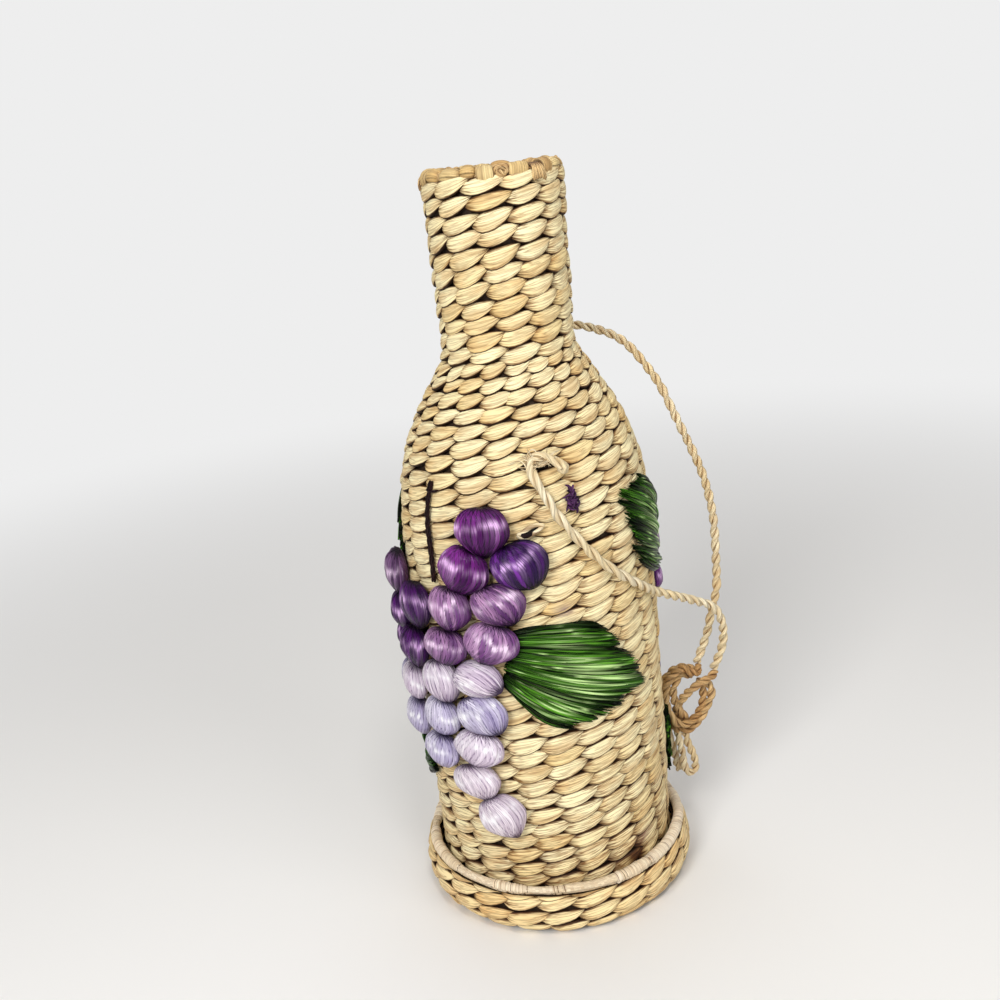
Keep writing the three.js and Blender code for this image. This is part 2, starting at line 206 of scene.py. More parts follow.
def add_piece(
    name: str, batches: Sequence[Tubes], material: Material, body: str, slot: str, *nodes: str, rides: bool = True
) -> bpy.types.Object:
    """Makes a piece of the object from batches of tubes.

    Args:
        name: The piece's name.
        batches: Its tubes, in mm.
        material: Its material.
        body: The CAD body that it belongs to.
        slot: Not used.
        *nodes: The CAD nodes that it stands for.
        rides: False to leave the piece unattached to its body.

    Returns:
        The object, in place, and riding on its body unless rides is False.
    """
    piece = link(name, mesh_from(name, batches))
    piece.data.materials.append(material)
    if rides:
        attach(piece, body)
    if nodes:
        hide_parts(*nodes)
    LOG.info("%s: %d faces", name, len(piece.data.polygons))
    return piece


# Finishes


def add_node(
    owner: Material | bpy.types.World, kind: str, inputs: dict[str | int, object] | None = None, **settings: object
) -> bpy.types.Node:
    """Adds a node to a material or a world.

    Args:
        owner: What gets the node.
        kind: The node's type, without ShaderNode.
        inputs: For each input, a socket to link from or a value.
        **settings: The node's own properties.

    Returns:
        The node.
    """
    node = owner.node_tree.nodes.new("ShaderNode" + kind)
    for key, value in settings.items():
        setattr(node, key, value)
    for key, value in (inputs or {}).items():
        if isinstance(value, bpy.types.NodeSocket):
            owner.node_tree.links.new(value, node.inputs[key])
        else:
            node.inputs[key].default_value = value
    return node


def emptied(owner: Material | bpy.types.World) -> Material | bpy.types.World:
    """Clears the way for nodes.

    Args:
        owner: A new material or world.

    Returns:
        The same one, with an empty node tree.
    """
    owner.use_nodes = True
    owner.node_tree.nodes.clear()
    return owner


@dataclass(frozen=True)
class PlantFibre:
    """Dried or dyed leaf fibre: creases and streaks along each strand over soft blotches, with painted shade where a
    strand turns into a gap and, on raffia, painted highlights.

    The lines are drawn about three times as far apart as on real rush and raffia, so that the
    photograph's distance still shows them. Colours are sRGB and lengths are in mm.
    """

    name: str
    pale: str  # the lightest tint
    deep: str  # the darkest tint of the clean fibre
    blotch: str  # in broad patches
    line: str  # in the creases between fibres
    edge: str  # painted shade, multiplied in where a strand turns away into a gap
    stain: str  # brought in by the third shade value: a dye mark on the rush, a painted highlight on the raffia
    gap: str = "1c1006"  # painted shade at the bottom of a gap
    line_pitch: float = 1.15  # from one crease to the next
    line_length: float = 15.0
    line_width: float = 0.09  # as a span of the noise that draws the creases
    line_share: float = 0.8  # how strongly they show
    blotch_share: float = 0.45
    roughness: float = 0.62
    gloss: float = 0.5  # specular level, less in silky fibre, where the strands shade one another
    silk: float = 0.0  # how far the shine is drawn out across the fibres
    relief: float = 0.3  # depth of the creases

    def build(self) -> Material:
        """Builds the finish from nodes.

        Returns:
            The material.
        """
        m = emptied(bpy.data.materials.new(self.name))
        fibre, shade, sheen = (
            add_node(m, "Attribute", attribute_name=name).outputs["Vector"] for name in ("fibre", "shade", "sheen")
        )
        tint, rim, stain = add_node(m, "SeparateXYZ", {0: shade}).outputs
        along, across = 1 / self.line_length, 1 / self.line_pitch

        def noise(*scale: float) -> bpy.types.NodeSocket:
            """Draws noise over the fibre at a scale along it, across it and from strand to strand."""
            place = add_node(m, "Mapping", {"Vector": fibre, "Scale": scale}).outputs[0]
            return add_node(m, "TexNoise", {"Vector": place, "Scale": 1.0, "Detail": 2.0}).outputs[0]

        def spread(value: object, low: float, high: float, start: float, end: float) -> bpy.types.NodeSocket:
            """Stretches low to high over start to end."""
            return add_node(m, "MapRange", {0: value, 1: low, 2: high, 3: start, 4: end}).outputs[0]

        def maths(operation: str, first: object, second: object = 0.0) -> bpy.types.NodeSocket:
            """Does one sum with two values."""
            return add_node(m, "Math", {0: first, 1: second}, operation=operation).outputs[0]

        def mixed(share: object, under: object, over: str, mode: str = "MIX") -> bpy.types.NodeSocket:
            """Mixes an sRGB colour over another colour by a share."""
            inputs = {0: share, 6: under, 7: linear(over)}
            return add_node(m, "Mix", inputs, data_type="RGBA", blend_type=mode).outputs[2]

        lines, streaks = noise(along, across, 1.0), noise(along * 0.6, across * 0.45, 1.0)
        patches = noise(0.08, 0.2, 1.0)
        off_line = maths("ABSOLUTE", maths("SUBTRACT", lines, 0.5))
        crease = spread(off_line, 0.2 * self.line_width, self.line_width, 1.0, 0.0)
        colour = mixed(tint, linear(self.pale), self.deep)
        colour = mixed(spread(patches, 0.46, 0.66, 0.0, self.blotch_share), colour, self.blotch)
        colour = mixed(spread(streaks, 0.52, 0.7, 0.0, self.line_share * 0.4), colour, self.line)
        # Creases show more strongly where the painted shade lies.
        share = spread(rim, 0.0, 0.45, 0.42 * self.line_share, self.line_share)
        colour = mixed(maths("MULTIPLY", crease, share), colour, self.line)
        # The third colour: a dye mark on the rush, a painted highlight on the raffia.
        colour = mixed(maths("MULTIPLY", stain, spread(lines, 0.38, 0.56, 0.35, 1.25)), colour, self.stain)
        # Painted shade: the edge colour is multiplied in towards a gap, and the gap colour lies at its bottom.
        colour = mixed(spread(rim, 0.36, 1.0, 0.0, 0.95), colour, self.edge, "MULTIPLY")
        colour = mixed(spread(rim, 0.95, 1.6, 0.0, 0.94), colour, self.gap)
        height = maths("SUBTRACT", maths("ADD", lines, streaks), maths("MULTIPLY", crease, 0.35))
        bump = add_node(m, "Bump", {"Height": height, "Strength": 1.0, "Distance": self.relief * MM})
        inputs = {
            "Base Color": colour,
            "Roughness": spread(lines, 0.35, 0.65, self.roughness - 0.07, self.roughness + 0.1),
            "Normal": bump.outputs[0],
            "IOR": 1.5,
            "Specular IOR Level": self.gloss,
            "Anisotropic": self.silk,
        }
        if self.silk:
            inputs["Tangent"] = sheen
        shader = add_node(m, "BsdfPrincipled", inputs)
        add_node(m, "OutputMaterial", {"Surface": shader.outputs[0]})
        return m


def raffia(name: str, pale: str, deep: str, line: str, edge: str, stain: str, gloss: float = 0.16) -> PlantFibre:
    """Dyed raffia from its own colours, with the silky shine that all of it has; its edge colour is painted shade and
    its last colour a painted highlight.
    """
    return PlantFibre(
        name, pale, deep, deep, line, edge, stain, gap=edge, line_pitch=0.72, line_length=26.0, line_width=0.11,
        line_share=1.0, blotch_share=0.55, roughness=0.3, gloss=gloss, silk=0.75,
    )


class Finishes:
    """Every material of the basket.

    Rush is matt and cream to straw, with painted brown shade where a stitch turns into a gap. Raffia is thinner,
    dyed, and silky, so that it shines in streaks along its fibres, by its own gloss and by painted highlights.
    """

    # For every finish the fifth colour is painted shade towards a gap, and gap is painted shade at a gap's bottom;
    # the rush's sixth colour is the grapes' dye.
    STITCH = dict(line_share=0.9, line_width=0.075, blotch_share=0.38, gap="200e02", gloss=0.26)
    RUSH = PlantFibre("twined_rush", "fff1c1", "eccb86", "e2ac66", "7d4e1c", "5a300c", "5a3763", **STITCH)
    GOLDEN = PlantFibre("golden_twined_rush", "ffe8b0", "ecc27c", "e2a45e", "7a4a1c", "573010", "5a3763", **STITCH)
    # The stakes are painted dark: painted shade for what shows of them in the gaps between stitches.
    PAINTED_SHADE_STAKES = PlantFibre(
        "rush_stakes_in_shadow", "4c3218", "30200e", "241508", "180c04", "180c04", "180c04", roughness=0.75
    )
    WRAP = PlantFibre(
        "wrapped_rush_border", "fff0d6", "ecd3a4", "deb684", "96693a", "6b4420", "7a5030", line_pitch=1.0,
        line_share=0.55, blotch_share=0.3,
    )
    FOLD = PlantFibre(
        "folded_rush_stakes", "efd79c", "c99d58", "a5733a", "6b4520", "4a2c12", "7a5030", line_pitch=1.0
    )
    PALE_CORD = PlantFibre(
        "combed_rush_cord", "fdf3d6", "f0dcae", "e2c286", "b8935a", "80592c", "fff6dc", line_pitch=0.8
    )
    CORD = PlantFibre(
        "twisted_rush_cord", "fcefca", "ecd09a", "d9ae72", "a57638", "70481e", "fff6dc", line_pitch=0.8
    )
    KNOT = PlantFibre(
        "knotted_rush_cord", "ecca90", "c08c4c", "9c6832", "6a3c16", "4a2610", "4a2610", line_pitch=0.8
    )
    # The leaf's near-black fifth colour is painted shade and its pale green sixth colour a painted highlight.
    LEAF = raffia("green_raffia", "6ab032", "042a05", "010601", "010801", "d4f6a4", gloss=0.08)
    BARK = raffia("dark_brown_raffia", "341a1c", "180a0d", "0d0506", "080304", "3a2022")


# Shapes that the pieces follow


@dataclass(frozen=True)
class BottleShape:
    """The outside of the woven cover, in mm, as the CAD has it."""

    foot_radius: float = 54.2
    body_radius: float = 55.4
    neck_radius: float = 28.0
    mouth_radius: float = 29.2
    belly_height: float = 60.0
    shoulder_start: float = 160.0
    shoulder_end: float = 256.0
    swell: float = 3.4
    flare: float = 1.5
    height: float = 330.0

    def radius(self, height: Array | float) -> Array:
        """Gives the outer radius.

        Args:
            height: Heights above the table, mm.

        Returns:
            The radius at each height, mm.
        """
        z = np.asarray(height, float)
        full = (1 - ramp(z, self.shoulder_start, self.shoulder_end) ** self.swell) ** self.flare
        body = self.neck_radius + (self.body_radius - self.neck_radius) * full
        below = np.interp(z, [0, self.belly_height], [self.foot_radius, self.body_radius])
        above = np.interp(z, [self.shoulder_end, self.height], [self.neck_radius, self.mouth_radius])
        return np.where(z < self.belly_height, below, np.where(z > self.shoulder_end, above, body))


SHAPE = BottleShape()


class Meridian:
    """A line of radii and heights that rows of weaving follow, with its length and its outer side."""

    SAMPLES = 600
    SMOOTHING = 9  # samples over which the outer side's direction is averaged

    def __init__(self, radii: Sequence[float], heights: Sequence[float]) -> None:
        """Samples the line.

        Args:
            radii: Distances from the axis, mm.
            heights: Heights, mm. The weave faces right of the line's way, seen with the axis on the left.
        """
        along = np.concatenate([[0.0], np.cumsum(np.hypot(np.diff(radii), np.diff(heights)))])
        self.length = float(along[-1])
        self._s = np.linspace(0, self.length, self.SAMPLES)
        self._r, self._z = (np.interp(self._s, along, v) for v in (radii, heights))
        slopes = (np.pad(np.gradient(v, self._s), self.SMOOTHING // 2, "edge") for v in (self._r, self._z))
        kernel = np.ones(self.SMOOTHING) / self.SMOOTHING
        slope_r, slope_z = (np.convolve(v, kernel, "valid") for v in slopes)
        size = np.hypot(slope_r, slope_z)
        self._nr, self._nz = slope_z / size, -slope_r / size

    def at(self, s: Array | float) -> tuple[Array, Array]:
        """Radius and height at a length along the line."""
        return np.interp(s, self._s, self._r), np.interp(s, self._s, self._z)

    def length_at(self, height: float) -> float:
        """Length along a line that climbs all the way, at a height."""
        return float(np.interp(height, self._z, self._s))

    def place(self, azimuth: Array, s: Array, out: Array) -> Array:
        """Finds points on the line or over it.

        Args:
            azimuth: Degrees round the axis.
            s: Lengths along the line, mm.
            out: How far off the line, to its outer side, mm.

        Returns:
            The points in mm, with x, y and z last.
        """
        r, z = self.at(s)
        nr, nz = np.interp(s, self._s, self._nr), np.interp(s, self._s, self._nz)
        return round_axis(azimuth, r + out * nr, z + out * nz)


def flat_ring(corners: int, below: int, power: float) -> tuple[Array, Array]:
    """Makes a ring with most of its corners on its outer half.

    Args:
        corners: Corners on the outer half.
        below: Corners on the inner half.
        power: Less than 1 to square the ring off.

    Returns:
        How far across and how far out each corner lies, from -1 to 1.
    """
    turn = np.concatenate([np.linspace(0, PI, corners), np.linspace(PI, 2 * PI, below + 2)[1:-1]])
    return np.cos(turn), np.sign(np.sin(turn)) * np.abs(np.sin(turn)) ** power


class Mark(Enum):
    """What a marked place does to the stitches near it."""

    PARTED = "pressed apart, as round a hole"
    DYED = "stained by the grapes' dye"
    SCORCHED = "brown, from a dark length of rush"
    # painted shade, deeper in the gaps between its stitches, which also open a little
    SHADED = "dark in the gaps between its stitches"


@dataclass(frozen=True)
class Spot:
    """A marked place on the weave, which is wider than high: azimuth in degrees, and height and reach in mm."""

    FLATNESS = 1.3

    mark: Mark
    azimuth: float
    height: float
    reach: float
    strength: float

    def near(self, azimuth: Array, height: Array, radius: Array) -> Array:
        """How near places are, from 0 to 1."""
        aside = np.radians(np.mod(azimuth - self.azimuth + 180, 360) - 180) * radius
        return np.exp(-(aside**2 + (self.FLATNESS * (height - self.height)) ** 2) / self.reach**2)


@dataclass(frozen=True)
class Stakes:
    """The upright stakes that rows are woven round, and the stitches that they give. Lengths in mm."""

    count: int
    phase: float = 0.0  # azimuth of the first one where the line's length is level
    level: float = 0.0
    lean: float = -0.18  # degrees that the stakes turn for each mm up the line
    merged: tuple[int, ...] = ()  # stakes that run together with the one before them
    merged_phase: float = 0.0  # the same as phase, for what is left of them
    merge: tuple[float, float] = (0.0, 1.0)  # lengths between which they run together
    overlap: float = 1.5  # length of a stitch over the distance between stakes
    fullness: float = 1.08  # size of a stitch's outline over what just fills its row
    bulge: float = 1.9  # how far its middle stands out
    join: float = 0.35  # share of the way at which a stake that runs into another one ends

    def azimuths(self, number: Array, s: Array) -> tuple[Array, Array]:
        """Finds where stakes cross the rows.

        Args:
            number: Which stakes, counted from the first one.
            s: Lengths along the line, mm.

        Returns:
            Azimuths in degrees, and whether each stake has run into another one there.
        """
        blend = ramp(s, *self.merge) * bool(self.merged)
        gone = sum(((number >= m).astype(int) for m in self.merged), 0 * number)
        apart = self.phase + number * 360 / self.count
        joined = self.merged_phase + (number - gone) * 360 / (self.count - len(self.merged))
        lost = np.isin(number, self.merged) & (blend > self.join)
        return apart + (joined - apart) * blend + self.lean * (s - self.level), lost


@dataclass(frozen=True)
class Twining:
    """One spiral of two-strand twining round the axis, over one or more sets of stakes. Lengths in mm."""

    SETTLING = 8  # steps in which every stitch finds its stake

    sets: tuple[tuple[float, Stakes], ...]  # with the length along the line where each begins
    courses: tuple[float, ...]  # lengths along the line at which the spiral passes the front
    dive: tuple[float, float] = (2.4, 0.7)  # how far the left and the right end of a stitch sink in
    shingle: float = 0.14  # how far its lower side stands out past its upper side, over its width
    rings: int = 14  # of a stitch
    corners: int = 25  # on its outer face
    seed: int = 1
    spots: tuple[Spot, ...] = ()

    def _places(self, start: float, end: float) -> Array:
        """Finds where the stitches lie.

        Args:
            start: Length along the line where the first row begins, mm.
            end: Length along it where the last one ends, mm.

        Returns:
            A row for each stitch: azimuth, length, degrees to its neighbours, distance between turns and set.
        """
        rows = np.array(self.courses)
        turns, places = np.arange(len(rows)), []
        apart = np.convolve(np.pad(np.gradient(rows), 2, "edge"), np.ones(5) / 5, "valid")
        begins = [max(begin, start) for begin, _ in self.sets] + [end]
        for index, (_, stakes) in enumerate(self.sets):
            low, high = np.interp(begins[index : index + 2], rows, turns)
            turn = np.arange(math.floor(low) - 3, math.ceil(high) + 4)[:, None]
            number = np.arange(stakes.count)[None]
            rho = turn + number / stakes.count  # turns of the spiral, found step by step as the stakes lean
            for _ in range(self.SETTLING):
                s = np.interp(rho, turns, rows)
                azimuth, lost = stakes.azimuths(number, s)
                azimuth = azimuth + 360 * turn
                rho = azimuth / 360
            keep = ~lost & (rho > low - 1) & (rho < high + 1)
            order = np.argsort(rho[keep])
            rho, azimuth, s = (v[keep][order] for v in (rho, azimuth, s))
            inside = (rho >= low - (0.6 / stakes.count if index else 0.0)) & (rho < high)
            rows_of = [azimuth, s, np.gradient(azimuth), np.interp(s, rows, apart), 0 * s + index]
            places.append(np.stack(rows_of, -1)[inside])
        return np.concatenate(places)

    @staticmethod
    def _outline(t: Array) -> tuple[Array, Array]:
        """Draws a stitch's outline.

        The left end comes out blunt from behind the stitch before. The lower edge bellies out in the left
        third and climbs from there to the right end, which is a sharp tip at the top.

        Args:
            t: Places along it, from its left end at 0 to its right end at 1.

        Returns:
            Heights of its upper and lower edge there, over the distance between rows.
        """
        upper = -0.1 + 0.65 * (1 - (1 - t) ** 2.8) ** 0.66 - 0.07 * t**6
        swelling = 0.6 + 0.4 * np.sin(PI / 2 * ramp(t, 0, 0.34))
        closing = np.sin(PI / 2 * ramp(t, 1, 0.34)) ** 0.78
        return upper, 0.46 - 1.04 * swelling * closing

    def lay(self, line: Meridian, start: float, end: float) -> Tubes:
        """Lays the stitches on a line's outer side.

        Args:
            line: The line that the rows climb.
            start: Length along it where the first row begins, mm.
            end: Length along it where the last one ends, mm.

        Returns:
            One closed tube for each stitch.
        """
        rng = np.random.default_rng(self.seed)
        azimuth, s, gap, pitch, index = self._places(start, end).T
        count = len(s)
        overlap, fullness, bulge = (
            np.array([getattr(self.sets[int(i)][1], key) for i in index]) for key in ("overlap", "fullness", "bulge")
        )
        radius, height = line.at(s)
        # No two stitches are alike in length, width, bulge or place.
        vary = rng.normal(0, 1, (10, count)).clip(-2, 2)
        length = np.radians(gap) * radius * overlap / 2 * (1 + 0.05 * vary[0])
        grow = pitch * fullness * (1 + 0.07 * vary[1])
        bulge = bulge * (1 + 0.12 * vary[3])
        s = s + 0.3 * vary[4]
        azimuth = azimuth + np.degrees(0.5 * vary[5] / radius)
        for spot in self.spots:
            near = spot.near(azimuth, height, radius)
            if spot.mark is Mark.PARTED:
                s = s + np.sign(height - spot.height) * spot.strength * near
                grow, bulge = grow * (1 - 0.3 * near), bulge * (1 - 0.3 * near)
            elif spot.mark is Mark.SHADED:
                grow = grow * (1 - 0.07 * near)
        # Along a stitch t runs from 0 to 1 and u from -1 to 1, with the rings closer together at its ends.
        t = 0.5 + 0.4955 * np.sin(np.linspace(-PI / 2, PI / 2, self.rings))[:, None]
        u = 2 * t - 1
        cross, lifted = flat_ring(self.corners, 4, 0.62)
        upper, lower = self._outline(t)
        middle, half = (upper + lower) / 2, (upper - lower) / 2
        # Folds run along it and are deepest at its ends, where the rush is squeezed.
        folds, first = each(rng.uniform(2.2, 4.2, count)), each(rng.uniform(0, 6.28, count))
        groove = (1 - np.abs(np.sin(PI * folds * cross / 2 + first + 0.4 * u))) ** 3
        groove = groove * np.clip(lifted, 0, 1) * (0.3 + 0.7 * np.abs(u))
        x = each(length) * u + 0 * cross
        y = each(0.35 * vary[9]) * u / 2 + each(grow) * (middle + half * cross) + each(0.3 * vary[7]) * (1 - u**2)
        # It stands out in the middle, and both ends dive under the stitches beside it.
        plump = 0.1 + 0.9 * (1 - np.abs(u) ** 3.2) ** 0.6
        out = each(bulge) * plump * np.where(lifted > 0, lifted, 0.45 * lifted) - 0.26 * groove
        out = out - self.dive[0] * ramp(t, 0.34, 0) ** 2 - self.dive[1] * ramp(t, 0.68, 1) ** 2
        out = out - self.shingle * each(grow) * half * cross
        turned = each(azimuth) + np.degrees(x / each(radius))
        points = line.place(turned, each(s) + y, out)
        # Its tone differs from stitch to stitch. Painted shade makes it darker below, at its left end, which comes
        # out from under the stitch before, and a little at its right end, and dark wherever it turns into a gap or
        # tucks under the row above.
        low_side, left_end = np.clip(-cross, 0, 1), ramp(t, 0.42, 0)
        tint = 0.1 + 0.22 * each(vary[6]) + 0.32 * low_side**2 + 0.5 * left_end + 0.2 * np.clip(u, 0, 1) ** 3
        rim = 1.25 * np.abs(cross) ** 9 + 1.05 * left_end**1.5 + 0.85 * ramp(t, 0.82, 1) + 0.8 * groove * np.abs(u)
        rim = rim + np.where(lifted < 0, 1.0, 0.0) + 0.5 * low_side**5
        rim = rim + 0.55 * ramp(cross, 0.62, 0.92) * ramp(t, 0.75, 0.35) + 0.9 * ramp(low_side, 0.82, 0.96)
        stain = 0.0 * rim
        for spot in self.spots:
            near = spot.strength * spot.near(turned, each(height) + y, each(radius))
            if spot.mark is Mark.DYED:
                stain = stain + near
            elif spot.mark is not Mark.PARTED:
                # A shaded spot adds painted shade; a scorched one adds brown.
                rim, tint = rim + near, tint + near * (spot.mark is Mark.SCORCHED)
        number = each(np.arange(count) * 3.17 + self.seed * 11)
        return Tubes(points, (x, each(grow) * 0.55 * cross, number), (tint, rim, stain))


def revolved(profile: Pairs | Array, ribs: int, rib_depth: float) -> Tubes:
    """Turns a closed outline round the axis, with ribs like the stakes of a basket.

    Args:
        profile: Corners as radius and height, mm.
        ribs: Number of stakes.
        rib_depth: How far the outline swells at each, mm.

    Returns:
        One looped tube.
    """
    radius, height = np.array(profile, float).T
    azimuth = np.linspace(0, 360, 208, endpoint=False)[:, None]
    swell = rib_depth * np.cos(np.radians(azimuth * ribs)) * np.sign(radius - radius.mean())
    points = round_axis(azimuth, radius + swell, height + 0 * azimuth)[None]
    return Tubes(points, (height, np.radians(azimuth) * radius, 0.0), (0.5, 0.2, 0.0), looped=True)


def smooth_path(points: Sequence[Point] | Array, spacing: float) -> Array:
    """Runs a centripetal Catmull-Rom curve through points.

    Args:
        points: The points, mm.
        spacing: Between the samples, mm.

    Returns:
        Evenly spaced points along the curve.
    """
    p = np.array(points, float)
    p = np.vstack([2 * p[0] - p[1], p, 2 * p[-1] - p[-2]])
    knots = np.concatenate([[0.0], np.cumsum(np.linalg.norm(np.diff(p, axis=0), axis=1) ** 0.5)])
    out = []
    for i in range(1, len(p) - 2):
        t = np.linspace(knots[i], knots[i + 1], 24, endpoint=i == len(p) - 3)[:, None]

        def mixed(a: Array, b: Array, low: int, high: int) -> Array:
            """Goes from a at one knot to b at another, both counted from the piece's first."""
            start, end = knots[i - 1 + low], knots[i - 1 + high]
            return (end - t) / (end - start) * a + (t - start) / (end - start) * b

        first, middle, last = (mixed(p[i - 1 + j], p[i + j], j, j + 1) for j in range(3))
        out.append(mixed(mixed(first, middle, 0, 2), mixed(middle, last, 1, 3), 1, 2))
    dense = np.vstack(out)
    along = np.concatenate([[0.0], np.cumsum(np.linalg.norm(np.diff(dense, axis=0), axis=1))])
    even = np.linspace(0, along[-1], max(4, round(along[-1] / spacing) + 1))
    return np.stack([np.interp(even, along, dense[:, i]) for i in range(3)], -1)


def normals_along(path: Array) -> tuple[Array, Array]:
    """Carries two normals along a path with no twist of their own.

    Args:
        path: Its points.

    Returns:
        The two unit normals at each point, at right angles to each other.
    """
    tangent = np.gradient(path, axis=0)
    tangent /= np.linalg.norm(tangent, axis=1, keepdims=True)
    side = np.cross(tangent[0], [0.0, 0.0, 1.0])
    if np.linalg.norm(side) < 0.1:
        side = np.array([1.0, 0.0, 0.0])
    sides = []
    for way in tangent:
        side = side - way * (side @ way)
        side = side / np.linalg.norm(side)
        sides.append(side)
    return np.array(sides), np.cross(tangent, sides)


@dataclass(frozen=True)
class Rope:
    """Plant fibre twisted into a cord. Lengths in mm."""

    TIGHTENING = 25.0  # length over which a loose twist gets tight
    WANDER = 6.0  # length over which the twist drifts
    REACH = 0.235  # from the cord's middle to a ply's, over the cord's diameter
    THICK = 0.29  # half a ply's thickness over the same

    diameter: float = 4.0
    lay: float = 11.0  # length of a full turn of a ply
    loose_lay: float = 11.0  # the same where the cord has lost its twist
    loose_length: float = 0.0  # how far from the start that lasts
    plies: int = 2
    corners: int = 14  # round a ply
    step: float = 0.7  # from ring to ring
    seed: int = 5

    def twist(self, points: Sequence[Point] | Array) -> tuple[Tubes, Array]:
        """Twists the plies round a path.

        Args:
            points: The route's points, mm.

        Returns:
            The plies, and the centreline.
        """
        path = smooth_path(points, self.step)
        side, other = normals_along(path)
        along = np.arange(len(path)) * self.step
        loose = ramp(along - self.loose_length, self.TIGHTENING, 0)
        rate = 2 * PI / (self.lay + (self.loose_lay - self.lay) * loose)
        marks = np.arange(0, along[-1] + 2 * self.WANDER, self.WANDER)
        draws = np.random.default_rng(self.seed).normal(0, 0.12, int(along[-1] / self.WANDER) + 3)
        phase = np.cumsum(rate * (1 + np.interp(along, marks, draws[: len(marks)]))) * self.step
        reach, thick = self.diameter * self.REACH, self.diameter * self.THICK
        turn, far = around(self.corners), along[:, None]
        ends = np.minimum(1, (np.minimum(along, along[::-1]) + 0.25) / 1.2)[:, None] ** 0.5
        plies = []
        for ply in range(self.plies):
            at = (phase + 2 * PI * ply / self.plies)[:, None]
            toward, beside = np.cos(at) * side + np.sin(at) * other, np.cos(at) * other - np.sin(at) * side
            swell = 1 + 0.07 * np.sin(far / 3.1 + 2 * ply) + 0.05 * np.sin(far / 1.7 + self.seed)
            size = thick * swell * (1 + 0.05 * np.cos(5 * turn + far / 2.5 + ply)) * ends
            ring = (path + reach * toward)[:, None] + (size * np.cos(turn))[..., None] * toward[:, None]
            plies.append(ring + (size * 1.14 * np.sin(turn))[..., None] * beside[:, None])
        number = each(np.arange(self.plies) * 5.0 + self.seed)
        # Painted shade darkens each ply where it turns in towards the others; its tone drifts along the cord.
        tint, rim = 0.4 + 0.3 * np.sin(far / 9.0 + self.seed), np.clip(-0.9 * np.cos(turn), 0, 1)
        return Tubes(np.array(plies), (far, turn * thick, number), (tint, rim, 0.0)), path

    def tubes(self, points: Sequence[Point] | Array) -> Tubes:
        """Twists the plies round a path and gives them alone."""
        return self.twist(points)[0]


# Camera and light


@dataclass(frozen=True)
class Camera:
    """The photograph's camera, fitted to the basket's outline. Lengths in mm and angles in degrees."""

    focal_pixels: float = 1136.0
    frame_pixels: float = 1000.0
    distance: float = 486.7
    height: float = 337.0
    pitch: float = 17.21
    roll: float = -6.15
    yaw: float = -1.27
    sensor: float = 36.0

    def build(self) -> None:
        """Makes the camera and hands it to the scene."""
        pitch, roll, yaw = (math.radians(a) for a in (self.pitch, self.roll, self.yaw))
        ahead = Vector((math.sin(yaw) * math.cos(pitch), math.cos(yaw) * math.cos(pitch), -math.sin(pitch)))
        level = Vector((math.cos(yaw), -math.sin(yaw), 0.0))
        upright = level.cross(ahead)
        right = math.cos(roll) * level + math.sin(roll) * upright
        up = -math.sin(roll) * level + math.cos(roll) * upright
        data = bpy.data.cameras.new("photo_camera")
        data.sensor_width = self.sensor
        data.lens = self.sensor * self.focal_pixels / self.frame_pixels
        data.clip_start = 0.01
        camera = link("photo_camera", data)
        turn = Matrix((right, up, -ahead)).transposed().to_4x4()
        camera.matrix_world = Matrix.Translation(Vector((0, -self.distance, self.height)) * MM) @ turn
        bpy.context.scene.camera = camera


@dataclass(frozen=True)
class Softbox:
    """A soft lamp: its place and target in metres, its size in metres and its power in watts."""

    place: Point
    target: Point
    size: float
    power: float


